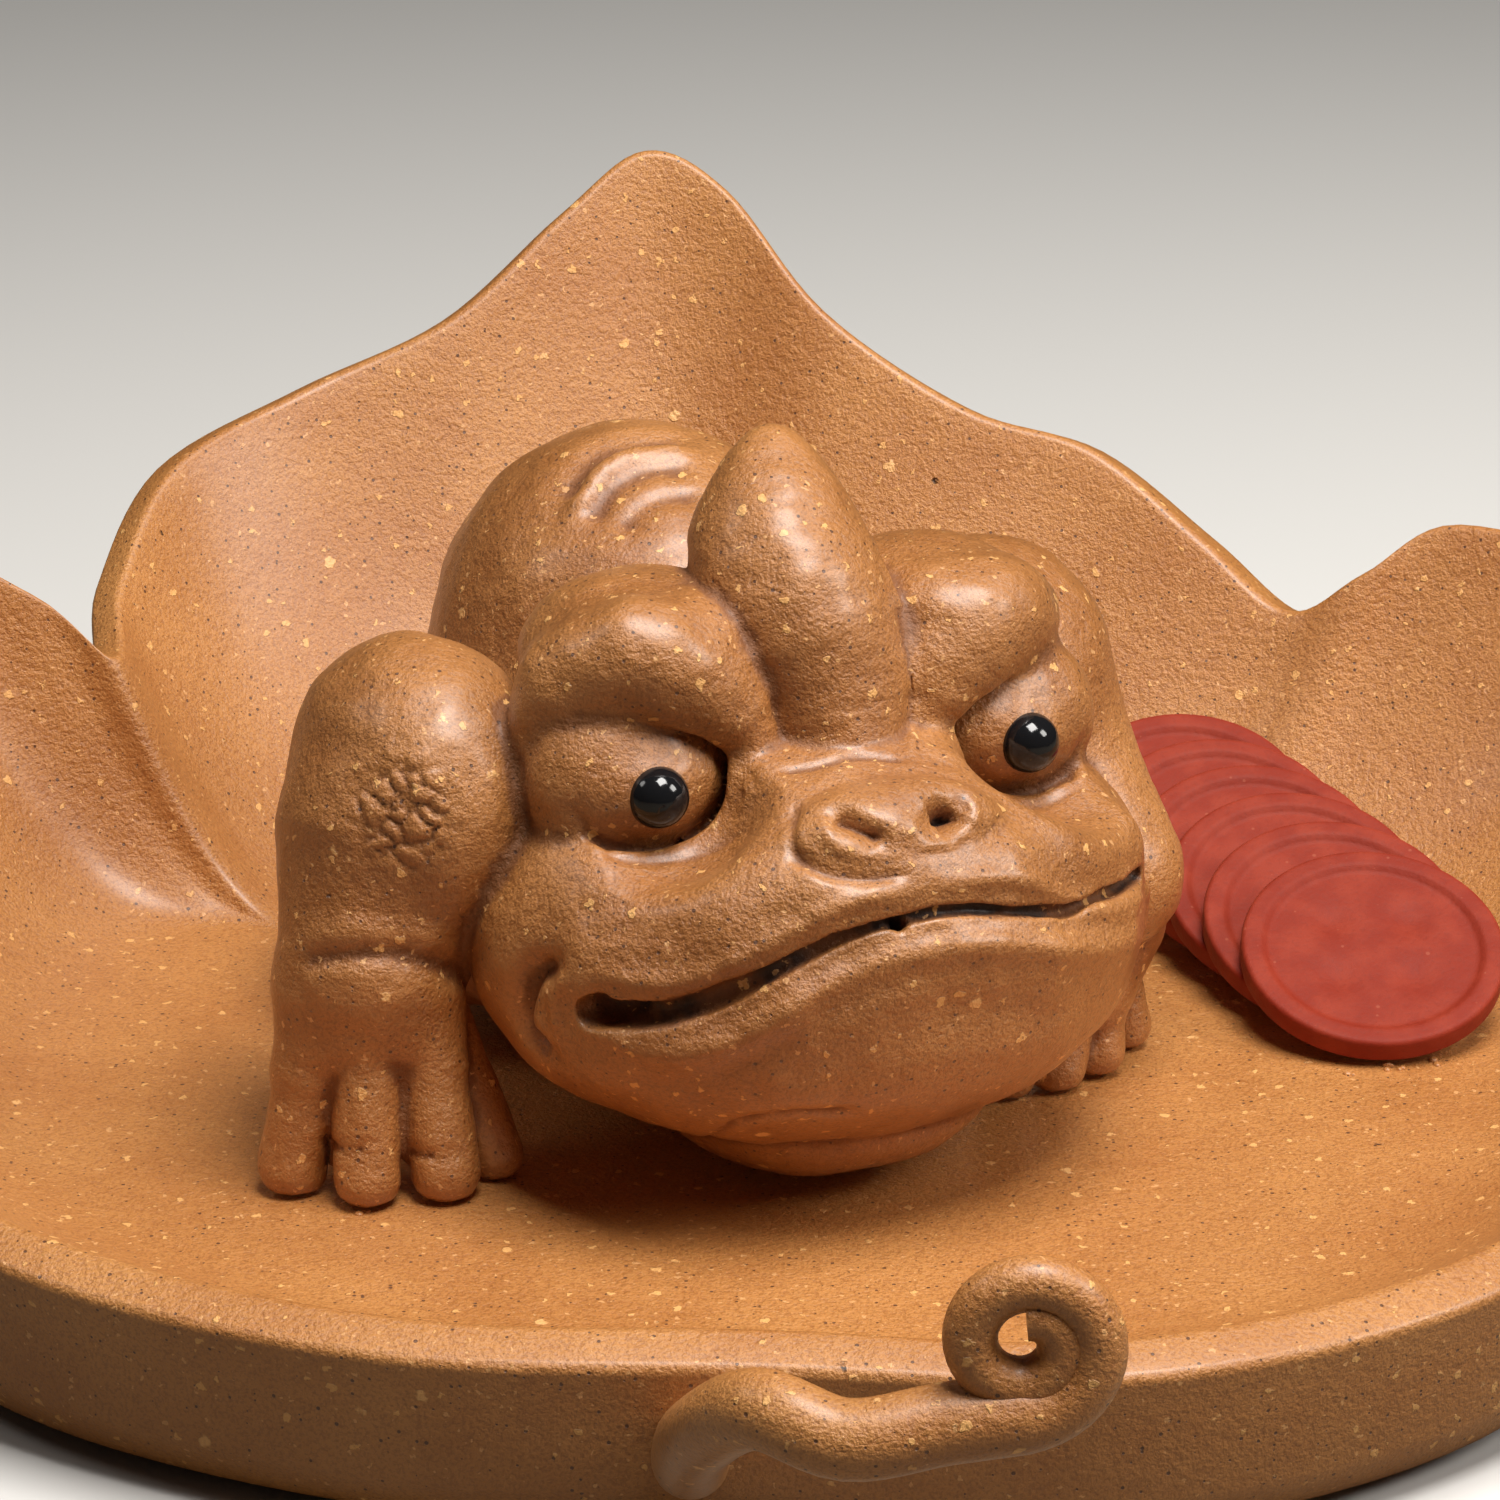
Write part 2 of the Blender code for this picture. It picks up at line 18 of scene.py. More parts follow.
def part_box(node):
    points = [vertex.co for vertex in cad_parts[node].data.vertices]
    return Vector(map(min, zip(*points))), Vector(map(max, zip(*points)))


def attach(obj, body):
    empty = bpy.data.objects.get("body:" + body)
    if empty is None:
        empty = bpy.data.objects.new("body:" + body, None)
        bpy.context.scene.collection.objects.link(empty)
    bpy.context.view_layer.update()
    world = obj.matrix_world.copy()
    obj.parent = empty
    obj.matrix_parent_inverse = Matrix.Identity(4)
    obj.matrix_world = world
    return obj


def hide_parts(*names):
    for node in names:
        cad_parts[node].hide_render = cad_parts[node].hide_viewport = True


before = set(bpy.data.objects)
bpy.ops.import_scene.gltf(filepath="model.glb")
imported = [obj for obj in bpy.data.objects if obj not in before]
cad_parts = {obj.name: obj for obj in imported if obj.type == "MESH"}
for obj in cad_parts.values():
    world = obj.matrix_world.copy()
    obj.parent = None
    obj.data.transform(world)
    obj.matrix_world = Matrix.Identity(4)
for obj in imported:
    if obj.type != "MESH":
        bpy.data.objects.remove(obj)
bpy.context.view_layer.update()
MM = 0.001
BODY = "root"
print("nodes:", ", ".join(sorted(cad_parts)))

# %% [markdown]
# ## Where the toad sits
#
# The toad is described in its own frame, in millimetres: x to its left, y to its tail and z
# up from the floor of the dish. Its two eye beads are in the frame already, so they tell
# where that frame lies and which way the toad is turned.

# %% The toad's own frame
BEAD = np.array([11.9, -0.8, 26.1])  # the left bead; the right one is its mirror image


def middle(node):
    low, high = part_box(node)
    return (np.array(low) + np.array(high)) / 2 / MM


eye_line = middle("eye_left") - middle("eye_right")
TOAD_YAW = math.atan2(eye_line[1], eye_line[0])
turn = np.array([[math.cos(TOAD_YAW), -math.sin(TOAD_YAW), 0], [math.sin(TOAD_YAW), math.cos(TOAD_YAW), 0], [0, 0, 1]])
TOAD_PLACE = (middle("eye_left") + middle("eye_right")) / 2 - turn @ (BEAD * (0, 1, 1))
print("the toad is turned", round(math.degrees(TOAD_YAW), 1), "degrees, at", np.round(TOAD_PLACE, 2), "mm")


def to_frame(points):
    """Millimetres in the toad's frame to metres in the shared frame."""
    return (points @ turn.T + TOAD_PLACE) * MM


def to_toad(points):
    return (points / MM - TOAD_PLACE) @ turn


# %% [markdown]
# ## The camera
#
# The photograph is a close-up from a little above, through a long lens. The camera stands 300
# mm from the toad, 20 degrees above it. The same numbers turn a place in the picture into a
# ray, and later the sculptor's strokes are laid on the clay along such rays.

# %% Camera
PICTURE = 1500  # pixels across the photograph
CAMERA_REACH = 300  # mm from the aim
CAMERA_RISE = math.radians(20)
CAMERA_AIM = TOAD_PLACE + (-5.32, 0.33, 26.91)
LENS = 122.4
SENSOR = 36

camera_back = np.array([0, -math.cos(CAMERA_RISE), math.sin(CAMERA_RISE)])
camera_up = np.array([0, math.sin(CAMERA_RISE), math.cos(CAMERA_RISE)])
camera_right = np.array([1.0, 0, 0])
camera_spot = CAMERA_AIM + CAMERA_REACH * camera_back

camera_data = bpy.data.cameras.new("camera")
camera_data.lens = LENS
camera_data.sensor_width = SENSOR
camera_data.clip_start = 0.01
camera = bpy.data.objects.new("camera", camera_data)
bpy.context.scene.collection.objects.link(camera)
camera.matrix_world = Matrix.Translation(Vector(camera_spot * MM)) @ Matrix.Rotation(math.pi / 2 - CAMERA_RISE, 4, "X")
bpy.context.scene.camera = camera
print("camera at", np.round(camera_spot), "mm")


def picture_rays(pixels):
    """Directions in the toad's frame from the camera through places in the picture."""
    reach = PICTURE * LENS / SENSOR
    offset = (np.array(pixels, float) - PICTURE / 2) / reach
    rays = -camera_back + offset[:, :1] * camera_right - offset[:, 1:] * camera_up
    rays = rays @ turn
    return rays / np.linalg.norm(rays, axis=1)[:, None]


# %% [markdown]
# ## Shader maths
#
# A material's pattern is arithmetic on sockets. Wired by hand it is a long list of Math nodes,
# so a small class wraps a socket and lets Python's own operators add those nodes. Everything
# else comes from one method that makes a node, applies its settings and fills its sockets.

# %% Values and recipes


class Value:
    """A socket that carries a number, with Python's operators."""

    def __init__(self, recipe, socket):
        self.recipe = recipe
        self.socket = socket

    def math(self, operation, *others):
        return self.recipe.make("Math", {"operation": operation}, dict(enumerate((self, *others))))

    def __add__(self, other):
        return self.math("ADD", other)

    def __sub__(self, other):
        return self.math("SUBTRACT", other)

    def __mul__(self, other):
        return self.math("MULTIPLY", other)

    def __rsub__(self, other):
        return self.recipe.make("Math", {"operation": "SUBTRACT"}, {0: other, 1: self})

    __radd__ = __add__
    __rmul__ = __mul__

    def ramp(self, low, high):
        """0 below low, 1 above high, and smooth between them; high may be the lower one."""
        settings = {"interpolation_type": "SMOOTHSTEP"}
        ends = {"Value": self, "From Min": low, "From Max": high}
        if low > high:
            ends.update({"From Min": high, "From Max": low, "To Min": 1, "To Max": 0})
        return self.recipe.make("MapRange", settings, ends)


class Recipe:
    """A material that is being put together."""

    def __init__(self, name):
        self.material = bpy.data.materials.new(name)
        self.material.use_nodes = True
        self.tree = self.material.node_tree
        self.tree.nodes.clear()

    @staticmethod
    def socket(sockets, key):
        if isinstance(key, int):
            return sockets[key]
        named = [s for s in sockets if s.identifier == key] or [s for s in sockets if s.name == key]
        return named[0]

    def make(self, kind, settings=None, inputs=None, output=0):
        node = self.tree.nodes.new("ShaderNode" + kind)
        for key, setting in (settings or {}).items():
            setattr(node, key, setting)
        for key, given in (inputs or {}).items():
            target = self.socket(node.inputs, key)
            if isinstance(given, Value):
                self.tree.links.new(given.socket, target)
            else:
                target.default_value = given
        return Value(self, self.socket(node.outputs, output))

    def mix(self, factor, a, b, blend="MIX"):
        """Two colours mixed, or blended in another way."""
        colours = {"Factor_Float": factor}
        for key, given in (("A_Color", a), ("B_Color", b)):
            colours[key] = given if isinstance(given, Value) else (*given, 1)
        return self.make("Mix", {"data_type": "RGBA", "blend_type": blend}, colours, "Result_Color")

    def noise(self, place, size, detail=2.0, roughness=0.5):
        """Noise with lumps about this many millimetres across."""
        return self.make("TexNoise", None, {"Vector": place, "Scale": 1 / size, "Detail": detail, "Roughness": roughness})

    def finish(self, surface):
        output = self.tree.nodes.new("ShaderNodeOutputMaterial")
        self.tree.links.new(surface.socket, output.inputs["Surface"])
        return self.material


# %% [markdown]
# ## The clays
#
# The toad and its dish are one clay: golden brown, unglazed, with a soft sheen from years of
# tea. Light yellow grains of sand, 0.3 to 0.8 mm long, lie in it, with fine dark pinpoints and
# now and then a pit. Painted shade darkens the hollows, and near black is painted into the mouth
# slit and the deepest strokes. A grain that the surface cuts through is a small round cell of a
# Voronoi pattern, put out of shape by noise, so the pattern is the same in every direction and
# has no seams.

# %% Speckled clay


def grains(recipe, place, spacing, largest, share):
    """A mask of specks: one to a cell, of many sizes, in a share of the cells."""
    cell = recipe.make("TexVoronoi", None, {"Vector": place, "Scale": 1 / spacing})
    lot = recipe.make("TexVoronoi", None, {"Vector": place, "Scale": 1 / spacing}, "Color")
    lot = recipe.make("SeparateColor", None, {"Color": lot})
    radius = (lot - (1 - share)) * (largest / share / spacing)
    return (radius - cell).ramp(-0.01, 0.05)


def speckled_clay(name, body, mottle_and_shade, light, sheen, polish, coarse):
    """The clay, with its colours, sheen, share of polish and how coarse its skin is."""
    recipe = Recipe(name)
    where = recipe.make("TexCoord", None, None, "Object")
    place = recipe.make("VectorMath", {"operation": "SCALE"}, {0: where, "Scale": 1 / MM}, "Vector")
    wobble = recipe.make("TexNoise", None, {"Vector": place, "Scale": 1.9, "Detail": 2.0}, "Color")
    wobble = recipe.make("VectorMath", {"operation": "MULTIPLY_ADD"}, {0: wobble, 1: (0.9, 0.9, 0.9), 2: place}, "Vector")

    fine = recipe.noise(place, 0.22, 3.0, 0.65)
    grit = recipe.noise(place, 0.55, 2.0, 0.6)
    patch = recipe.noise(place, 1.3, 3.0, 0.6)
    cloud = recipe.noise(place, 11, 3.0)
    # painted shade: how deep in a hollow a point lies, above 1 where the slit and deepest strokes are painted near
    # black
    hollow_shade = recipe.make("Attribute", {"attribute_name": "hollow_shade"}, None, "Fac")
    worn = recipe.make("Attribute", {"attribute_name": "worn"}, None, "Fac")

    colour = recipe.mix(cloud.ramp(0.3, 0.72), body, light)
    colour = recipe.mix(patch.ramp(0.35, 0.75) * 0.45, colour, light)
    colour = recipe.mix(fine.ramp(0.56, 0.36) * 0.5, colour, mottle_and_shade)
    colour = recipe.mix(worn.ramp(0.0, 1.0) * 0.4, colour, light)
    # painted shade: the hollows take the shade colour
    colour = recipe.mix(hollow_shade.ramp(0.0, 1.0) * 0.8, colour, mottle_and_shade)
    # painted shade: near black in the mouth slit and the deepest strokes
    colour = recipe.mix(hollow_shade.ramp(1.0, 1.8) * 0.9, colour, (0.02, 0.006, 0.002))
    pinpoint = grains(recipe, place, 0.5, 0.13, 0.5)
    colour = recipe.mix(pinpoint * 0.85, colour, (0.07, 0.02, 0.006))
    sand = grains(recipe, wobble, 1.25, 0.34, 0.6)
    colour = recipe.mix(sand * 0.85, colour, (0.86, 0.45, 0.14))
    stone = grains(recipe, wobble, 3.1, 0.5, 0.4)
    colour = recipe.mix(stone * 0.9, colour, (0.88, 0.48, 0.17))
    dust = grains(recipe, wobble, 0.62, 0.18, 0.5)
    colour = recipe.mix(dust * 0.7, colour, (0.8, 0.42, 0.16))
    pit = grains(recipe, wobble, 4.2, 0.3, 0.16)
    colour = recipe.mix(pit * 0.95, colour, (0.02, 0.008, 0.003))

    height = fine * 0.12 + grit * 0.15 + patch * coarse + (sand + stone) * 0.05 - pinpoint * 0.07 - pit * 0.3
    normal = recipe.make("Bump", None, {"Strength": 1.0, "Distance": MM, "Height": height}, "Normal")
    roughness = sheen + fine * 0.25 + hollow_shade.ramp(0.0, 1.0) * 0.2 + sand * 0.1
    surface = recipe.make(
        "BsdfPrincipled",
        None,
        {"Base Color": colour, "Roughness": roughness, "Normal": normal, "Coat Weight": (1 - hollow_shade.ramp(0.1, 0.9) * 0.7) * polish, "Coat Roughness": 0.32, "Specular IOR Level": 0.7},
    )
    return recipe.finish(surface)


# the second colour serves as dark mottle and as the painted shade of the hollows
toad_clay = speckled_clay("toad_clay", (0.35, 0.122, 0.022), (0.17, 0.052, 0.009), (0.49, 0.2, 0.05), 0.36, 0.6, 0.2)
dish_clay = speckled_clay("dish_clay", (0.46, 0.175, 0.036), (0.25, 0.072, 0.01), (0.56, 0.24, 0.06), 0.38, 0.5, 0.08)
print("clays:", toad_clay.name, dish_clay.name)

# %% Red clay and black glaze


def red_clay():
    recipe = Recipe("red_clay")
    where = recipe.make("TexCoord", None, None, "Object")
    place = recipe.make("VectorMath", {"operation": "SCALE"}, {0: where, "Scale": 1 / MM}, "Vector")
    fine = recipe.noise(place, 0.3, 3.0, 0.6)
    patch = recipe.noise(place, 2.4, 3.0)
    colour = recipe.mix(patch.ramp(0.35, 0.7), (0.24, 0.022, 0.008), (0.29, 0.034, 0.014))
    colour = recipe.mix(fine.ramp(0.5, 0.3) * 0.35, colour, (0.2, 0.02, 0.007))
    colour = recipe.mix(grains(recipe, place, 0.9, 0.16, 0.4) * 0.4, colour, (0.42, 0.11, 0.06))
    height = fine * 0.03 + patch * 0.05
    normal = recipe.make("Bump", None, {"Strength": 1.0, "Distance": MM, "Height": height}, "Normal")
    inputs = {"Base Color": colour, "Roughness": 0.55 + fine * 0.2, "Normal": normal, "Specular IOR Level": 0.25}
    surface = recipe.make("BsdfPrincipled", None, inputs)
    return recipe.finish(surface)


def black_glaze():
    recipe = Recipe("black_glaze")
    where = recipe.make("TexCoord", None, None, "Object")
    place = recipe.make("VectorMath", {"operation": "SCALE"}, {0: where, "Scale": 1 / MM}, "Vector")
    drift = recipe.noise(place, 0.8, 2.0)
    normal = recipe.make("Bump", None, {"Strength": 1.0, "Distance": MM, "Height": drift * 0.025}, "Normal")
    surface = recipe.make(
        "BsdfPrincipled",
        None,
        {"Base Color": (0.008, 0.008, 0.009, 1), "Roughness": 0.06 + drift * 0.08, "Normal": normal},
    )
    return recipe.finish(surface)


coin_clay = red_clay()
bead_glaze = black_glaze()
print("finishes:", coin_clay.name, bead_glaze.name)

# %% [markdown]
# ## Lumps of clay
#
# A sculptor builds such a toad from lumps: eggs and rolls of clay, pressed together until they
# flow into each other. Here the lumps are distance functions. Joining two of them with a soft
# minimum leaves a fillet, as a thumb does, and a soft maximum with the negative of a lump cuts
# a hollow. Any point of a mesh can then be moved to where the distance is zero, so the detail
# is only limited by the mesh.

# %% Lump tools


def soft_step(x, low, high):
    t = np.clip((x - low) / (high - low), 0, 1)
    return t * t * (3 - 2 * t)


def egg(centre, radii, turned=0):
    return ("egg", np.array(centre, float), np.array(radii, float), math.radians(turned))


def roll(*knots):
    return ("roll", np.array(knots, float))


def mirrored(shape):
    flip = np.array([-1, 1, 1])
    if shape[0] == "egg":
        return ("egg", shape[1] * flip, shape[2], -shape[3])
    return ("roll", shape[1] * np.array([-1, 1, 1, 1]))


def both(shape):
    return [shape, mirrored(shape)]


def toes(tops, tips, radius):
    return [roll((*top, radius * 0.92), (*tip, radius * 0.94)) for top, tip in zip(tops, tips)]


def egg_distance(p, centre, radii, turned):
    q = p - centre
    c, s = math.cos(turned), math.sin(turned)
    q = q @ np.array([[c, -s, 0], [s, c, 0], [0, 0, 1]])
    near = np.linalg.norm(q / radii, axis=1)
    slope = np.linalg.norm(q / np.square(radii), axis=1)
    return near * (near - 1) / np.maximum(slope, 1e-9)


def roll_distance(p, knots):
    best = np.full(len(p), np.inf)
    for a, b in zip(knots, knots[1:]):
        along = b[:3] - a[:3]
        t = np.clip((p - a[:3]) @ along / (along @ along), 0, 1)
        reach = np.linalg.norm(p - a[:3] - t[:, None] * along, axis=1)
        best = np.minimum(best, reach - a[3] - (b[3] - a[3]) * t)
    return best


def distance(p, shape):
    return egg_distance(p, *shape[1:]) if shape[0] == "egg" else roll_distance(p, shape[1])


def join(a, b, soft):
    """Two lumps pressed together, with a fillet about this wide."""
    h = np.maximum(soft - np.abs(a - b), 0) / max(soft, 1e-9)
    return np.minimum(a, b) - h * h * soft / 4


def cut(a, b, soft):
    return -join(-a, b, soft)


def press(d, p, groups):
    for soft, shapes in groups:
        for shape in shapes:
            d = join(d, distance(p, shape), soft)
    return d


def smooth_path(knots, steps, closed=False):
    """A Catmull-Rom curve through knots of any number of columns."""
    knots = np.array(knots, float)
    if closed:
        ends = np.vstack([knots[-1], knots, knots[0], knots[1]])
    else:
        ends = np.vstack([2 * knots[0] - knots[1], knots, 2 * knots[-1] - knots[-2]])
    t = (np.arange(steps) / steps)[:, None]
    spans = []
    for a, b, c, d in zip(ends, ends[1:], ends[2:], ends[3:]):
        bend = (2 * a - 5 * b + 4 * c - d) * t**2 + (3 * b - a - 3 * c + d) * t**3
        spans.append(0.5 * (2 * b + (c - a) * t + bend))
    if not closed:
        spans.append(knots[-1:])
    return np.vstack(spans)


print("lump tools ready")

# %% [markdown]
# ## The toad's lumps
#
# Body first, then the arms with their toes, then the broad head with its horn, and the heavy
# brows. The eye sockets and the mouth are cut, and the lids are pressed into the sockets.

# %% Body, arms and head
TRUNK = [
    (0, [egg((0, 27, 12.5), (19, 21, 13))]),
    (5, [egg((0, 31, 23), (13.5, 16, 15.2))]),
    (4, [egg((0, 16, 22), (14, 10, 9)), egg((0, 41, 10), (15, 10, 10))]),
    (3, both(egg((14.5, 35, 9.5), (7.5, 11, 9), 12))),
    (2, [roll((0, 44, 6, 6), (0, 49, 3, 3.2))]),
]
RIGHT_ARM = [
    (3, [egg((-21.3, 14, 23.3), (7.6, 10, 9))]),
    (2, [roll((-23.5, 12.5, 20, 7.2), (-26, 10.5, 14, 5.4))]),
    (1.2, [roll((-26.4, 10.5, 12.4, 4.9), (-26.4, 10.2, 10.4, 4.2))]),
    (1.5, [roll((-28.4, 10.8, 11.4, 3.3), (-30, 10.4, 7.6, 2.3)), roll((-23.8, 9.2, 11, 3.2), (-23.2, 7.8, 7.8, 2.3))]),
    (0.4, toes([(-29.4, 10.6, 9.6), (-26.8, 8.6, 10), (-23.3, 8.2, 10)],
               [(-31.2, 10.2, 1.6), (-27.7, 6.8, 1.6), (-23.2, 5.8, 1.6)], 2.25)),
    (0.3, toes([(-21.6, 10, 9.4)], [(-19.3, 7.6, 1.4)], 1.9)),
]
LEFT_ARM = [
    (3, [egg((17.5, 17, 24), (8, 9, 8.8))]),
    (2, [roll((19.5, 14, 19, 6.6), (21.8, 8, 13, 5.0))]),
    (0.6, [roll((22.2, 10, 9, 4.4), (20.4, 8.6, 6, 3.9))]),
    (0.4, toes([(23.4, 10.5, 6.5), (21.4, 8.4, 6.6), (19, 7.2, 6.6), (16.6, 7.6, 6.2)],
               [(24.4, 10.2, 1.6), (21, 7, 1.6), (17.6, 5.8, 1.6), (14.2, 6, 1.6)], 2.0)),
]
HEAD = [
    (2, [egg((0, 5, 15.8), (21.2, 17.6, 13.2))]),
    (3, [egg((0, 11.5, 24), (15, 11, 8))]),
    (3, [egg((0, -2.5, 21.3), (14.5, 9.4, 5.6))]),
    (3, [egg((0, 3.2, 12.6), (18.6, 15.6, 8.5))]),
    (2.5, [roll((-15.6, -3.4, 16.9, 2), (-9.6, -8.2, 19.5, 2.2), (-5.3, -10, 22.2, 2.2), (0, -10.4, 23, 2.2),
                (5, -9.9, 22.2, 2.2), (9.5, -8, 20.9, 2.2), (15.6, -3.8, 19.9, 2))]),
    (2.5, [roll((-15, -3.7, 13.4, 1.9), (-11.5, -7.4, 14, 2), (-7.2, -10.5, 16.2, 2), (1, -11.5, 18.4, 2),
                (7.4, -10.8, 17.2, 2), (13.6, -6.8, 16.4, 1.9))]),
    (1.5, [egg((0, -6, 23.9), (7.5, 4.6, 2.8))]),
    (0.5, [egg((-0.5, -8.4, 24.9), (7, 3.4, 2.9))]),
    (0.4, [egg((0.3, 3, 5), (10.4, 10, 4.8))]),
]
HORN = [(0.4, 0.2, 24.2, 3.9), (0.4, 1.8, 27.6, 4.5), (0.2, 3.4, 31, 5.2), (-0.7, 5.2, 34.4, 5.9), (-0.8, 7.6, 37.4, 5.2),
        (-0.4, 9.3, 39.9, 3.8), (0, 10.2, 41.8, 2.4)]
# brow ridges, then the brows' backs, their inner ends against the horn, and the horn
BROWS = [
    (0.6, [roll(*smooth_path([(-4.6, 0.9, 27, 1.5), (-6.8, 1.4, 30, 2.5), (-9.2, 2, 32.6, 3.1), (-12, 3, 33.7, 3.2),
                              (-15, 5, 31.6, 2.9), (-16.2, 6.6, 28.2, 2.3)], 2)),
           roll(*smooth_path([(4.6, 0.9, 27, 1.5), (6.8, 1.4, 29.8, 2.5), (9, 2, 32.2, 3.0), (11, 3, 33.2, 3.1),
                              (13, 5, 32, 3.0), (14, 7.2, 29.4, 2.4)], 2))]),
    (2, both(egg((9, 8, 31.6), (7.5, 8, 5)))),
    (1, both(roll((5.2, 2.6, 27.4, 1.9), (6.6, 3, 30.6, 3), (7.8, 4, 32.4, 3.8)))),
    (0.35, [roll(*smooth_path(HORN, 3))]),
]
# a hollow beside the snout under each brow, the socket, its floor, and the eye's mound
SCOOPS = both(egg((12.8, -4.2, 27), (6.2, 5, 5), -23))
SOCKETS = both(egg((11.4, 2.6, 26), (5.9, 4.8, 4.4), -23))
FLOORS = both(egg((10.9, 5.5, 26), (7.6, 5.6, 6.4), -23))
EYELIDS = both(egg((11.3, 3.4, 26), (5.4, 4.6, 3.8), -23))
MOUTH = [(-16.9, -4.5, 15, 0.95), (-13.6, -7.4, 15.8, 0.85), (-10.3, -10, 17.7, 0.6), (-5.8, -12, 20.4, 0.45),
         (-1.6, -12.4, 21.3, 0.38), (2.5, -12.3, 21.2, 0.38), (8.7, -10.8, 19.6, 0.42), (16.9, -5.6, 18.5, 0.5)]
FLOOR_GAP = 0.3  # the toad's flat underside above the dish's floor


def head_distance(p):
    return press(np.full(len(p), 1e3), p, HEAD)


def slit():
    """The mouth's knots, moved level onto the head's surface."""
    knots = smooth_path(MOUTH, 2)
    p = knots[:, :3]
    step = 0.05
    for _ in range(6):
        d = head_distance(p)
        slope = np.stack([(head_distance(p + step * axis) - d) / step for axis in np.eye(3)[:2]], 1)
        p[:, :2] -= (d / (slope**2).sum(1))[:, None] * slope
    p[:, 1] += 0.35
    return roll(*knots)


MOUTH_SLIT = slit()


def toad_distance(p):
    body = press(np.full(len(p), 1e3), p, TRUNK + LEFT_ARM + RIGHT_ARM)
    head = head_distance(p)
    for scoop in SCOOPS:
        head = cut(head, distance(p, scoop), 2)
    head = press(head, p, BROWS)
    for socket, socket_floor, lid in zip(SOCKETS, FLOORS, EYELIDS):
        head = cut(head, distance(p, socket), 0.5)
        head = join(head, distance(p, socket_floor), 0.8)
        head = join(head, distance(p, lid), 0.5)
    head = cut(head, distance(p, MOUTH_SLIT), 0.3)
    return cut(join(body, head, 0.6), p[:, 2] - FLOOR_GAP, 0.1)


print("the toad has", sum(len(shapes) for _, shapes in TRUNK + LEFT_ARM + RIGHT_ARM + HEAD + BROWS), "lumps")

# %% [markdown]
# ## A skin over the lumps
#
# The distance to the lumps is worked out on a grid of small cells. Each cell that the surface
# passes through gets one point, and each grid edge that it crosses gets one face between the
# four cells round it. That gives an even skin with every undercut, which a moved copy of the
# plain solid would lose. The grid is only filled in near the surface. The face and the
# shoulder carry the finest marks, so their faces are cut in four.

# %% Mesh tools
CELL = 0.5  # mm
BLOCK = 5  # cells to a block of the coarse grid


def mesh_points(mesh):
    flat = np.empty(len(mesh.vertices) * 3, np.float32)
    mesh.vertices.foreach_get("co", flat)
    return flat.reshape(-1, 3).astype(float)


def set_points(mesh, points):
    mesh.vertices.foreach_set("co", points.astype(np.float32).ravel())
    mesh.update()


def add_object(name, mesh):
    made = bpy.data.objects.new(name, mesh)
    bpy.context.scene.collection.objects.link(made)
    return made


def evaluated_mesh(thing):
    graph = bpy.context.evaluated_depsgraph_get()
    return bpy.data.meshes.new_from_object(thing.evaluated_get(graph))


def settle(points, rounds=4):
    """Moves points onto the surface of the lumps, none of them far."""
    step = 0.03
    start = points
    for _ in range(rounds):
        d = toad_distance(points)
        slope = np.stack([(toad_distance(points + step * axis) - d) / step for axis in np.eye(3)], 1)
        size = np.maximum((slope**2).sum(1), 0.2)
        points = points - (np.clip(d, -0.2, 0.2) / size)[:, None] * slope
    moved = points - start
    far = np.linalg.norm(moved, axis=1)[:, None]
    return start + moved * np.minimum(1, 0.5 * CELL / np.maximum(far, 1e-9))


print("cells of", CELL, "mm")

# %% Skin of the lumps
SKIN_LOW = np.array([-36.0, -16.0, -1.0])
SKIN_HIGH = np.array([31.0, 54.0, 46.0])


def grid_distances():
    """The distance at each grid point near the surface, and only its sign elsewhere."""
    blocks = np.ceil((SKIN_HIGH - SKIN_LOW) / (CELL * BLOCK)).astype(int)
    reach = CELL * BLOCK
    middles = np.stack(np.meshgrid(*[np.arange(n) + 0.5 for n in blocks], indexing="ij"), -1) * reach + SKIN_LOW
    coarse = toad_distance(middles.reshape(-1, 3)).reshape(blocks)
    near = np.abs(coarse) < 1.6 * reach
    cells = blocks * BLOCK
    values = np.ones(cells + 1)
    wanted = np.zeros(cells + 1, bool)
    for x in (0, 1):
        for y in (0, 1):
            for z in (0, 1):
                part = tuple(slice(o, o + n) for o, n in zip((x, y, z), cells))
                big = near.repeat(BLOCK, 0).repeat(BLOCK, 1).repeat(BLOCK, 2)
                wanted[part] |= big
                values[part] = coarse.repeat(BLOCK, 0).repeat(BLOCK, 1).repeat(BLOCK, 2)
    spots = np.argwhere(wanted) * CELL + SKIN_LOW
    values[wanted] = toad_distance(spots)
    return values


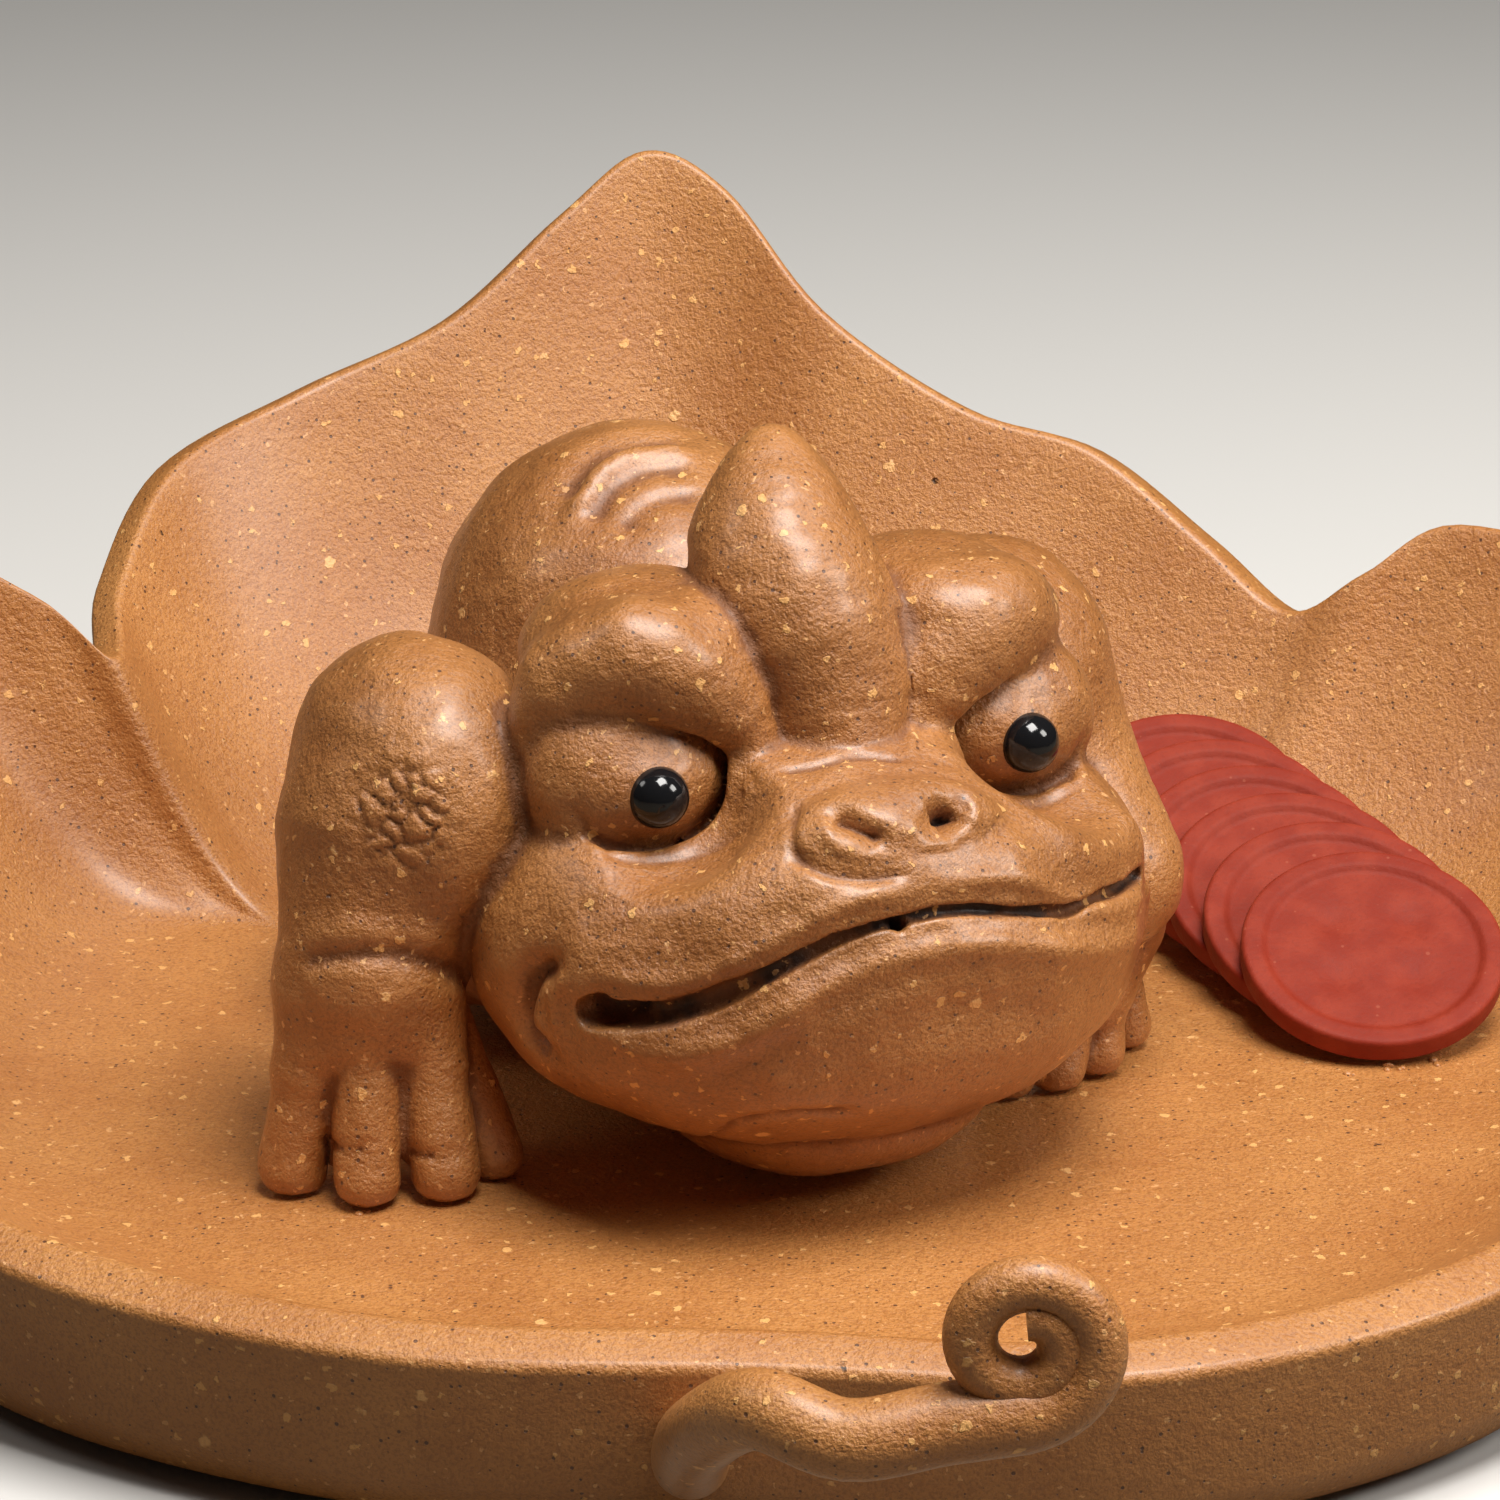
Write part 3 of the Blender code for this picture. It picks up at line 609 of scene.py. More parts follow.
def skin(values):
    """One point in each cell that the surface crosses, and faces round the crossed edges."""
    cells = np.array(values.shape) - 1
    total = np.zeros((*cells, 3))
    count = np.zeros(cells)
    inside = values < 0
    crossings = []
    for axis in range(3):
        side, up = [b for b in range(3) if b != axis]
        here = tuple(slice(0, -1) if b == axis else slice(None) for b in range(3))
        there = tuple(slice(1, None) if b == axis else slice(None) for b in range(3))
        crossed = inside[here] != inside[there]
        share = np.where(crossed, values[here] / np.where(crossed, values[here] - values[there], 1), 0)
        spot = np.stack(np.indices(crossed.shape), -1).astype(float)
        spot[..., axis] += share
        for a in (0, 1):
            for b in (0, 1):
                part = [slice(0, n) for n in cells]
                part[side] = slice(a, a + cells[side])
                part[up] = slice(b, b + cells[up])
                part = tuple(part)
                count += crossed[part]
                total += spot[part] * crossed[part][..., None]
        crossings.append((axis, crossed, inside[here]))
    number = np.full(cells, -1)
    active = count > 0
    number[active] = np.arange(active.sum())
    points = total[active] / count[active][:, None] * CELL + SKIN_LOW
    faces = []
    for axis, crossed, starts_inside in crossings:
        side, up = (axis + 1) % 3, (axis + 2) % 3
        spots = np.argwhere(crossed)
        spots = spots[(spots[:, side] > 0) & (spots[:, up] > 0) & (spots[:, side] < cells[side]) & (spots[:, up] < cells[up])]
        back = ~starts_inside[tuple(spots.T)]
        corners = []
        for a, b in ((-1, -1), (0, -1), (0, 0), (-1, 0)):
            shifted = spots.copy()
            shifted[:, side] += a
            shifted[:, up] += b
            corners.append(number[tuple(shifted.T)])
        quads = np.stack(corners, 1)
        quads[back] = quads[back][:, ::-1]
        faces.append(quads)
    return points, np.vstack(faces)


points, faces = skin(grid_distances())
mesh = bpy.data.meshes.new("toad_skin")
mesh.from_pydata(to_frame(settle(points)).tolist(), [], faces.tolist())
toad = add_object("toad_skin", mesh)
print("skin:", len(points), "points")

# %% Finer face and shoulder


def finer_where(thing, wanted):
    """Cuts the faces in four where all their points are wanted."""
    bm = bmesh.new()
    bm.from_mesh(thing.data)
    near = wanted(to_toad(mesh_points(thing.data)))
    bm.verts.ensure_lookup_table()
    edges = [edge for edge in bm.edges if near[edge.verts[0].index] and near[edge.verts[1].index]]
    bmesh.ops.subdivide_edges(bm, edges=edges, cuts=1, use_grid_fill=True)
    bmesh.ops.triangulate(bm, faces=[face for face in bm.faces if len(face.verts) > 4])
    bm.to_mesh(thing.data)
    bm.free()


def face_part(p):
    """The front of the head, from the mouth to the brows, and the wrinkled shoulder."""
    front = (p[:, 1] < 3 - 0.15 * np.abs(p[:, 0])) & (p[:, 2] > 10) & (p[:, 2] < 31) & (np.abs(p[:, 0]) < 20)
    return front | ((p[:, 0] < -22) & (p[:, 1] < 14) & (p[:, 2] > 18) & (p[:, 2] < 28))


finer_where(toad, face_part)
set_points(toad.data, to_frame(settle(to_toad(mesh_points(toad.data)), 3)))
print("skin:", sum(len(face.vertices) - 2 for face in toad.data.polygons), "triangles")

# %% [markdown]
# ## Strokes
#
# The last marks are made with a wooden tool: the creases round the eyes, the nostrils, the
# line under the lip, the wrinkles of the shoulder. Each stroke is a path through places in
# the picture. It is traced from the camera onto the clay, and the skin near it is pushed in,
# or out where the tool has thrown up a ridge. A mark that the picture shows on one side is
# mirrored where the other side is hidden.

# %% Strokes in the picture
# depth in mm (out if negative), width in mm, mirrored or not, then places in pixels
STROKES = {
    "ridge_by_horn": (-0.25, 0.35, False, [(884, 566), (900, 610), (911, 660), (913, 720), (910, 762)]),
    "horn_foot": (0.35, 0.4, False, [(776, 770), (820, 764), (860, 756), (905, 760)]),
    "nose_top": (-0.08, 0.5, False, [(800, 800), (830, 776), (870, 766), (930, 768), (985, 786), (1030, 812), (1070, 842)]),
    "nose_pad": (0.4, 0.4, False, [(798, 806), (788, 830), (796, 856), (826, 872), (868, 878), (905, 874)]),
    "left_nostril": (1.1, 0.6, False, [(834, 812), (856, 824), (884, 842)]),
    "nostril_lip": (-0.2, 0.4, False, [(822, 824), (836, 846), (858, 856), (884, 856)]),
    "right_nostril": (2.2, 0.95, False, [(938, 818), (950, 812), (958, 804)]),
    "nostril_rim": (-0.25, 0.35, False, [(922, 846), (952, 840), (975, 818), (972, 796)]),
    "scratch_one": (0.2, 0.14, False, [(985, 838), (1008, 810)]),
    "scratch_two": (0.2, 0.14, False, [(998, 834), (1014, 812)]),
    "under_lid": (0.18, 0.4, True, [(572, 806), (592, 836), (622, 858), (665, 862), (705, 852), (742, 828)]),
    "eye_corner": (-0.25, 0.3, False, [(738, 812), (748, 796), (744, 782)]),
    "cheek_mark": (1.3, 0.85, True, [(552, 962), (528, 978), (518, 1008), (526, 1034), (548, 1052)]),
    "cheek_edge": (-0.3, 0.5, True, [(566, 976), (552, 1000), (556, 1030)]),
    "lip_corner": (1.2, 0.6, False, [(600, 1000), (610, 1010), (650, 1002)]),
    "upper_lip": (-0.35, 0.6, True, [(600, 976), (650, 982), (700, 976), (770, 944), (840, 906), (920, 888)]),
    "lower_lip": (-0.45, 0.85, False, [(596, 1030), (640, 1050), (700, 1050), (760, 1028), (840, 978), (920, 952),
                                     (1000, 944), (1080, 950), (1130, 944)]),
    "under_lip": (0.12, 0.9, False, [(640, 1082), (700, 1080), (780, 1050), (860, 1003), (930, 978), (1010, 968), (1090, 978)]),
    "lip_pit": (2.2, 0.35, False, [(893, 924), (899, 926)]),
    "chin_fold": (0.35, 0.3, False, [(700, 1140), (740, 1122), (790, 1113), (855, 1113)]),
    "arm_crease": (0.35, 0.6, False, [(296, 962), (330, 958), (380, 954), (430, 962), (462, 976)]),
    "arm_fold": (-0.2, 0.7, False, [(300, 940), (340, 934), (400, 932), (450, 944)]),
    "knuckle_one": (0.35, 0.25, False, [(322, 1138), (345, 1150), (376, 1150)]),
    "knuckle_two": (0.35, 0.25, False, [(408, 1148), (430, 1156), (462, 1152)]),
    "back_one": (0.7, 1.3, False, [(560, 500), (585, 462), (625, 440), (690, 436)]),
    "back_two": (0.6, 1.1, False, [(588, 520), (612, 488), (650, 468), (694, 466)]),
    "back_three": (0.5, 1.0, False, [(620, 530), (640, 506), (668, 494), (700, 492)]),
    "back_ridge": (-0.5, 0.8, False, [(572, 512), (598, 474), (638, 452), (694, 450)]),
}
print(len(STROKES), "strokes")

# %% Lay the strokes on the clay
camera_in_toad = (camera_spot - TOAD_PLACE) @ turn


def trace(pixels):
    """Where rays through places in the picture meet the toad."""
    rays = picture_rays(pixels)
    reach = np.full(len(rays), CAMERA_REACH * 0.8)
    for _ in range(50):
        reach += 0.8 * toad_distance(camera_in_toad + reach[:, None] * rays)
    return camera_in_toad + reach[:, None] * rays


def stroke_push(p, path, depth, width):
    """How far a stroke pushes each point, fading at the stroke's ends."""
    best = np.full(len(p), np.inf)
    fade = np.ones(len(p))
    last = len(path) - 1
    for number, (a, b) in enumerate(zip(path, path[1:])):
        along = b - a
        t = np.clip((p - a) @ along / (along @ along), 0, 1)
        reach = np.linalg.norm(p - a - t[:, None] * along, axis=1)
        nearer = reach < best
        best = np.where(nearer, reach, best)
        share = (number + t) / last
        fade = np.where(nearer, np.clip(np.minimum(share, 1 - share) * 6 + 0.35, 0, 1), fade)
    return depth * fade * np.exp(-((best / width) ** 2))


def point_normals(mesh):
    flat = np.empty(len(mesh.vertices) * 3, np.float32)
    mesh.vertex_normals.foreach_get("vector", flat)
    return flat.reshape(-1, 3).astype(float)


def carve(thing):
    """Lays all strokes and returns a mask of painted shade, near black in the mouth slit and in the deepest strokes."""
    points = to_toad(mesh_points(thing.data))
    normals = point_normals(thing.data) @ turn
    push = np.zeros(len(points))
    # painted shade: near black along the mouth slit, and below in the deepest strokes
    shade_mask = 0.9 - distance(points, MOUTH_SLIT) / 0.12
    for depth, width, twin, pixels in STROKES.values():
        path = trace(smooth_path(pixels, 3))
        stroke = stroke_push(points, path, depth, width)
        push += stroke
        if twin:
            push += stroke_push(points, path * (-1, 1, 1), depth, width)
        if depth > SHADED_STROKE_DEPTH:
            shade_mask = np.maximum(shade_mask, 2 * stroke / depth - 0.6)
    set_points(thing.data, to_frame(points - push[:, None] * normals))
    return np.clip(shade_mask, 0, 1)


SHADED_STROKE_DEPTH = 1.4  # a stroke deeper than this gets painted shade, near black, as if no light got into it
WRINKLE_SPOT = (402, 812)  # pixels: the middle of the wrinkled skin on the shoulder
WRINKLE_REACH = 3.8
WRINKLE_DEPTH = 0.28


def knead(thing):
    """Leaves the skin a little uneven, as hands do, and wrinkles the shoulder."""
    points = to_toad(mesh_points(thing.data))
    normals = point_normals(thing.data) @ turn
    spot = trace([WRINKLE_SPOT])[0]
    inside = 1 - soft_step(np.linalg.norm(points - spot, axis=1), 0.5 * WRINKLE_REACH, 1.15 * WRINKLE_REACH)
    push = np.array([0.24 * noise.noise(Vector(p / 4.2)) + 0.08 * noise.noise(Vector(p / 1.5)) for p in points])
    for i in np.flatnonzero(inside > 0.01):
        x, y, z = points[i] + 0.5 * np.array(noise.noise_vector(Vector(points[i] / 1.6)))
        near, next_near = noise.voronoi(Vector((x / 1.5, y / 1.5, z / 1.05)))[0][:2]
        push[i] += WRINKLE_DEPTH * inside[i] * (0.4 - math.exp(-(((next_near - near) / 0.2) ** 2)))
    set_points(thing.data, to_frame(points + push[:, None] * normals))


knead(toad)
hole_shade = carve(toad)
print("carved", len(STROKES), "strokes into", toad.name)

# %% [markdown]
# ## Painted shade in hollows, and worn edges
#
# Painted shade darkens the hollows and hands polish the ridges. Both come from the shape itself: the
# skin is smoothed in thought, and where the smoothed skin would lie outside the real one,
# there is a hollow. The result is kept as two attributes that the clay's material reads.

# %% Painted shade in the hollows, and worn edges


def mesh_edges(mesh):
    flat = np.empty(len(mesh.edges) * 2, np.int32)
    mesh.edges.foreach_get("vertices", flat)
    return flat.reshape(-1, 2)


def smoothed(values, edges, rounds):
    count = np.maximum(np.bincount(edges.ravel(), minlength=len(values)), 1)[:, None]
    for _ in range(rounds):
        total = np.zeros_like(values)
        np.add.at(total, edges[:, 0], values[edges[:, 1]])
        np.add.at(total, edges[:, 1], values[edges[:, 0]])
        values = 0.5 * values + 0.5 * total / count
    return values


def mark_hollows(thing, scale, hole_shade=0):
    points = mesh_points(thing.data) / MM
    normals = point_normals(thing.data)
    edges = mesh_edges(thing.data)
    near = ((smoothed(points, edges, 4) - points) * normals).sum(1)
    wide = ((smoothed(points, edges, 30) - points) * normals).sum(1)
    depth = smoothed((near * 6 + wide * 0.7)[:, None], edges, 1)[:, 0] / scale
    # the first attribute carries painted shade, with the near black of the slit and strokes added; the second is the
    # polish of the ridges
    for name, values in (("hollow_shade", np.clip(depth, 0, 1) + hole_shade), ("worn", np.clip(-depth, 0, 1))):
        layer = thing.data.attributes.new(name, "FLOAT", "POINT")
        layer.data.foreach_set("value", values.astype(np.float32))
    print(thing.name, "hollow share", round(float((depth > 0.3).mean()), 2))


# painted shade in the toad's hollows, near black in the mouth slit and the deepest strokes
mark_hollows(toad, 0.6, hole_shade)
toad.data.materials.append(toad_clay)
toad.data.shade_smooth()
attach(toad, BODY)
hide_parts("toad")

# %% [markdown]
# ## The leaf dish
#
# The dish is one pressed leaf. Its floor is flat under the toad and curls up towards the rim,
# low in front and high at the back, with a lobe on each side and a long tip. One rule makes
# the whole sheet: along a spoke from the middle to the outline the floor stays flat for a
# share of the way and then climbs. The outside follows it one wall further out and runs down
# steeper, so that the edge looks thick.

# %% Outline of the leaf
# counterclockwise from the stalk: x, y, height of the rim above the floor, flat share
OUTLINE = [
    (-5, -31.5, 5, 0.8), (16, -32.5, 5, 0.8), (36, -22.5, 5.5, 0.8), (50, -5, 8, 0.76), (58, 14, 12, 0.74),
    (60, 33, 17, 0.72), (55, 49, 21.5, 0.7), (44, 58, 22.8, 0.68), (37.5, 58, 19.2, 0.7), (32.5, 60, 15.8, 0.72),
    (26.5, 64, 20, 0.66), (19, 69, 25, 0.6), (10, 72, 27.2, 0.56), (0, 77, 33, 0.54), (-7, 83, 40.5, 0.53),
    (-13, 85, 43, 0.53), (-19, 82, 39, 0.53), (-27, 77, 32.5, 0.54), (-37, 73, 28.5, 0.56), (-46, 65, 25, 0.6),
    (-49, 55, 19.5, 0.66), (-48.5, 47, 16.8, 0.7), (-54, 48, 21, 0.68), (-63, 46, 25, 0.68), (-68, 30, 20, 0.7),
    (-66, 9, 14, 0.74), (-58, -9, 8, 0.77), (-45, -21, 5.5, 0.8), (-25, -30, 5, 0.8),
]
LEAF_MIDDLE = np.array([-6.0, 20.0])
ROUND_STEPS = 8
SHEET_RINGS = 52
WALL = 3.2
RIM_ROUND = 0.6
RIM_SHARE = 0.9965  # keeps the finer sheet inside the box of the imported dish
WALL_CURVE = 2.0
RIM_LEAN = math.radians(70)  # the edge is cut across the wall, 20 degrees off level
SKIRT = 5.5  # how much deeper the outside runs where the rim is low
SKIRT_RIMS = (5, 13)  # rim heights with the whole skirt and with none
floor_height = TOAD_PLACE[2]
print("the leaf's outline has", len(OUTLINE), "knots")

# %% Sheet of the dish


def sheet_profile(share, height, flat):
    """Height of the inside at a share of the way out."""
    return height * np.clip((share - flat) / (1 - flat), 0, None) ** WALL_CURVE


def make_dish():
    rim = smooth_path(OUTLINE, ROUND_STEPS, closed=True)
    spokes = (rim[:, :2] - LEAF_MIDDLE) * RIM_SHARE
    length = np.linalg.norm(spokes, axis=1)
    outward = spokes / length[:, None]
    shares = 1 - (1 - np.linspace(0, 1, SHEET_RINGS)) ** 1.05
    shares[0] = 0.02
    step = 1e-3
    low_rim = 1 - soft_step(rim[:, 2], *SKIRT_RIMS)
    inner, outer = [], []
    for share in shares:
        z = sheet_profile(share, rim[:, 2], rim[:, 3])
        rise = (sheet_profile(share + step, rim[:, 2], rim[:, 3]) - z) / (step * length)
        lean = np.arctan(rise)
        lean += (RIM_LEAN - lean) * share**30
        skirt = low_rim * soft_step(share, rim[:, 3] - 0.12, 0.93) * (1 - soft_step(share, 0.965, 1.0))
        inner.append(np.column_stack([LEAF_MIDDLE + spokes * share, z]))
        away = WALL * np.sin(lean) + 0.8 * skirt * (1 - share) * length
        outside = inner[-1][:, :2] + outward * away[:, None]
        outer.append(np.column_stack([outside, z - np.cos(lean) * WALL - skirt * SKIRT]))
    rings = inner + outer[::-1]
    bm = bmesh.new()
    rows = [[bm.verts.new(point * MM) for point in ring] for ring in rings]
    for one, two in zip(rows, rows[1:]):
        for i in range(len(one)):
            j = (i + 1) % len(one)
            bm.faces.new((one[i], one[j], two[j], two[i]))
    bm.faces.new(rows[0])
    bm.faces.new(rows[-1])
    bmesh.ops.recalc_face_normals(bm, faces=bm.faces)
    lips = []
    for ring in rows[SHEET_RINGS - 1 : SHEET_RINGS + 1]:
        lips += [bm.edges.get((ring[i - 1], ring[i])) for i in range(len(ring))]
    bmesh.ops.bevel(bm, geom=lips, offset=RIM_ROUND * MM, segments=4, profile=0.5, affect="EDGES")
    mesh = bpy.data.meshes.new("leaf_sheet")
    bm.to_mesh(mesh)
    bm.free()
    return add_object("leaf_sheet", mesh)


dish = make_dish()
shift = np.array([*TOAD_PLACE[:2], floor_height]) * MM
set_points(dish.data, mesh_points(dish.data) + shift)
# painted shade in the dish's hollows
mark_hollows(dish, 6)
dish.data.materials.append(dish_clay)
dish.data.shade_smooth()
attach(dish, BODY)
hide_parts("leaf_dish")
print("dish:", len(dish.data.polygons), "faces")

# %% [markdown]
# ## Foot and stalk
#
# The foot ring is turned like a ring on a wheel. The stalk is a roll of clay that leaves the
# leaf under its rim and curls up in front. A path with its own radius at each point, swept by
# Geometry Nodes with a round profile, gives it a skin without kinks.

# %% Foot ring
FOOT = {"inner": 28, "outer": 33, "top": -2.2, "rounding": 0.8}


def make_foot():
    rounding = FOOT["rounding"]
    bottom = -floor_height
    inner, outer, top = FOOT["inner"], FOOT["outer"], FOOT["top"]
    profile = [(inner, top)]
    for angle in np.linspace(0, math.pi / 2, 5):
        profile.append((inner + rounding * (1 - math.cos(angle)), bottom + rounding * (1 - math.sin(angle))))
    for angle in np.linspace(math.pi / 2, 0, 5):
        profile.append((outer - rounding * (1 - math.cos(angle)), bottom + rounding * (1 - math.sin(angle))))
    profile.append((outer, top))
    bm = bmesh.new()
    verts = [bm.verts.new((x * MM, 0, z * MM)) for x, z in profile]
    edges = [bm.edges.new((verts[i], verts[(i + 1) % len(verts)])) for i in range(len(verts))]
    bmesh.ops.spin(bm, geom=verts + edges, axis=(0, 0, 1), steps=96, angle=math.tau, use_duplicate=False)
    bmesh.ops.remove_doubles(bm, verts=bm.verts, dist=0.01 * MM)
    bmesh.ops.recalc_face_normals(bm, faces=bm.faces)
    mesh = bpy.data.meshes.new("foot_ring")
    bm.to_mesh(mesh)
    bm.free()
    return add_object("foot_ring", mesh)


foot = make_foot()
set_points(foot.data, mesh_points(foot.data) + shift + np.array([*LEAF_MIDDLE, 0]) * MM)
foot.data.materials.append(dish_clay)
foot.data.shade_smooth()
foot.data.set_sharp_from_angle(angle=math.radians(50))
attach(foot, BODY)
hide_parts("leaf_dish")
print("foot ring:", len(foot.data.polygons), "faces")

# %% Node tree helper


class Nodes:
    """A Geometry Nodes tree that is being put together."""

    def __init__(self, name, inputs):
        self.tree = bpy.data.node_groups.new(name, "GeometryNodeTree")
        self.tree.interface.new_socket("Geometry", in_out="INPUT", socket_type="NodeSocketGeometry")
        self.keys = {}
        for title, (kind, default) in inputs.items():
            socket = self.tree.interface.new_socket(title, in_out="INPUT", socket_type="NodeSocket" + kind)
            if default is not None:
                socket.default_value = default
            self.keys[title] = socket.identifier
        self.tree.interface.new_socket("Geometry", in_out="OUTPUT", socket_type="NodeSocketGeometry")
        self.given = self.tree.nodes.new("NodeGroupInput").outputs
        self.result = self.tree.nodes.new("NodeGroupOutput").inputs[0]

    def make(self, kind, settings=None, inputs=None, output=0):
        node = self.tree.nodes.new(kind)
        for key, setting in (settings or {}).items():
            setattr(node, key, setting)
        for key, value in (inputs or {}).items():
            target = Recipe.socket(node.inputs, key)
            if isinstance(value, bpy.types.NodeSocket):
                self.tree.links.new(value, target)
            else:
                target.default_value = value
        return Recipe.socket(node.outputs, output)

    def end(self, geometry, clay):
        plain = self.make("GeometryNodeRealizeInstances", None, {"Geometry": geometry})
        coloured = self.make("GeometryNodeSetMaterial", None, {"Geometry": plain, "Material": clay})
        self.tree.links.new(coloured, self.result)

    def grow(self, thing, values, name):
        """Runs the tree on an object and returns the plain result as a new object."""
        modifier = thing.modifiers.new("grow", "NODES")
        modifier.node_group = self.tree
        for title, value in values.items():
            modifier[self.keys[title]] = value
        made = add_object(name, evaluated_mesh(thing))
        bpy.data.objects.remove(thing)
        return made


print("node helper ready")

# %% Stalk
STALK_RADIUS = 2.1
CURL_WIRE = 1.4
CURL_RADIUS = 4.0
CURL_TURNS = 1.5
STALK_COURSE = [(-8, -24, -1.5), (-8.5, -36, -0.5), (-8, -45, 5.5), (-5, -51, 10.2), (-0.5, -53.2, 9.6), (4.5, -53, 10.4)]
CURL_MIDDLE = (8.4, -53, 15)


def stalk_path():
    course = smooth_path([(*knot, STALK_RADIUS) for knot in STALK_COURSE], 6)
    angle = np.linspace(0, CURL_TURNS * math.tau, int(CURL_TURNS * 40))
    shrink = 1 - 0.62 * angle / angle[-1]
    curl = np.column_stack([
        CURL_MIDDLE[0] + CURL_RADIUS * shrink * np.sin(angle),
        np.full(len(angle), CURL_MIDDLE[1]),
        CURL_MIDDLE[2] - CURL_RADIUS * shrink * np.cos(angle),
        CURL_WIRE + (STALK_RADIUS - CURL_WIRE) * np.exp(-angle),
    ])
    return np.vstack([course, curl])


def path_curve(name, path):
    """A poly curve whose points carry their radius, in metres."""
    curve = bpy.data.curves.new(name, "CURVE")
    curve.dimensions = "3D"
    spline = curve.splines.new("POLY")
    spline.points.add(len(path) - 1)
    for point, (x, y, z, radius) in zip(spline.points, path * MM):
        point.co = (x, y, z, 1)
        point.radius = radius
    return add_object(name, curve)


sweep = Nodes("swept_roll", {"Sides": ("Int", 24), "Clay": ("Material", None)})
profile = sweep.make("GeometryNodeCurvePrimitiveCircle", None, {"Resolution": sweep.given["Sides"], "Radius": 1.0})
thickness = sweep.make("GeometryNodeInputRadius")
swept = {"Curve": sweep.given["Geometry"], "Profile Curve": profile, "Scale": thickness, "Fill Caps": True}
rounded = sweep.make("GeometryNodeCurveToMesh", None, swept)
sweep.end(rounded, sweep.given["Clay"])
path = stalk_path()
path[:, :3] += shift / MM
stalk = sweep.grow(path_curve("stalk_path", path), {"Sides": 28, "Clay": dish_clay}, "curled_stalk")
stalk.data.shade_smooth()
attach(stalk, BODY)
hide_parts("leaf_dish")
print("stalk:", len(stalk.data.polygons), "faces")

# %% [markdown]
# ## Eye beads
#
# The eyes are beads of black glaze, pressed into the lids while the clay was wet. A glazed
# bead is never a perfect ball; here each bead is an icosphere, and only its glaze has a faint bump.

# %% Beads


def make_bead(name, node):
    low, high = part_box(node)
    radius = (high.x - low.x) / 2
    bm = bmesh.new()
    bmesh.ops.create_icosphere(bm, subdivisions=5, radius=radius * 0.995, matrix=Matrix.Translation((low + high) / 2))
    mesh = bpy.data.meshes.new(name)
    bm.to_mesh(mesh)
    bm.free()
    bead = add_object(name, mesh)
    bead.data.materials.append(bead_glaze)
    bead.data.shade_smooth()
    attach(bead, BODY)
    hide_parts(node)
    return bead


for side in ("left", "right"):
    made = make_bead(f"bead_{side}", f"eye_{side}")
    print(made.name, len(made.data.polygons), "faces")

# %% [markdown]
# ## The coins
#
# Six red coins lean on each other. They came from one mould, so one coin is modelled, with its
# soft rim, sunken field and square, and Geometry Nodes set it on the row. The coins' middles
# come from the frame, and each coin stands a little steeper than the one before it.

# %% One coin
COIN_RADIUS = 8.5
COIN_THICKNESS = 1.8
COIN_RIM = 1.3
COIN_RELIEF = 0.35
DENT_RADIUS = 1.3
DENT_DEPTH = 0.24
DENT_PLACE = 3.5  # from the middle
COIN_TILT = math.radians(25)
COIN_FAN = math.radians(0.6)


def coin_relief(x, y):
    """How far the face lies under the rim's top."""
    radius = np.hypot(x, y)
    field = 1 - soft_step(radius, COIN_RADIUS - COIN_RIM - 0.5, COIN_RADIUS - COIN_RIM + 0.1)
    depth = COIN_RELIEF * field
    for quarter in range(4):
        spin = (quarter + 0.5) * math.pi / 2
        away = np.hypot(x - DENT_PLACE * math.cos(spin), y - DENT_PLACE * math.sin(spin))
        depth = depth + DENT_DEPTH * np.exp(-((away / DENT_RADIUS) ** 2))
    return depth


def make_coin():
    """A coin on the XY plane round the origin, face up, in metres."""
    sides = 96
    soft = 0.35
    radii = np.append(np.linspace(0.15, COIN_RADIUS - soft, 40), COIN_RADIUS - soft + soft * np.sin(np.linspace(0.4, math.pi / 2, 4)))
    angles = np.arange(sides) / sides * math.tau
    rings = []
    for radius in radii:
        x, y = radius * np.cos(angles), radius * np.sin(angles)
        over = max(radius - (COIN_RADIUS - soft), 0)
        drop = soft - math.sqrt(max(soft**2 - over**2, 0))
        rings.append(np.column_stack([x, y, COIN_THICKNESS / 2 - drop - coin_relief(x, y)]))
    for radius in radii[::-1]:
        over = max(radius - (COIN_RADIUS - soft), 0)
        drop = soft - math.sqrt(max(soft**2 - over**2, 0))
        if radius > 5 or radius < 0.2:
            z = np.full(sides, drop - COIN_THICKNESS / 2)
            rings.append(np.column_stack([radius * np.cos(angles), radius * np.sin(angles), z]))
    bm = bmesh.new()
    rows = [[bm.verts.new(point * MM) for point in ring] for ring in rings]
    for one, two in zip(rows, rows[1:]):
        for i in range(sides):
            j = (i + 1) % sides
            bm.faces.new((one[i], one[j], two[j], two[i]))
    bm.faces.new(rows[0])
    bm.faces.new(rows[-1])
    bmesh.ops.recalc_face_normals(bm, faces=bm.faces)
    mesh = bpy.data.meshes.new("coin")
    bm.to_mesh(mesh)
    bm.free()
    return add_object("coin_mould", mesh)


mould = make_coin()
mould.data.shade_smooth()
print("one coin:", len(mould.data.polygons), "faces")

# %% Row of coins
coin_nodes = sorted(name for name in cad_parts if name.startswith("coin_"))
spots = bpy.data.meshes.new("coin_spots")
spots.from_pydata([Vector(middle(node) * MM) for node in coin_nodes], [], [])

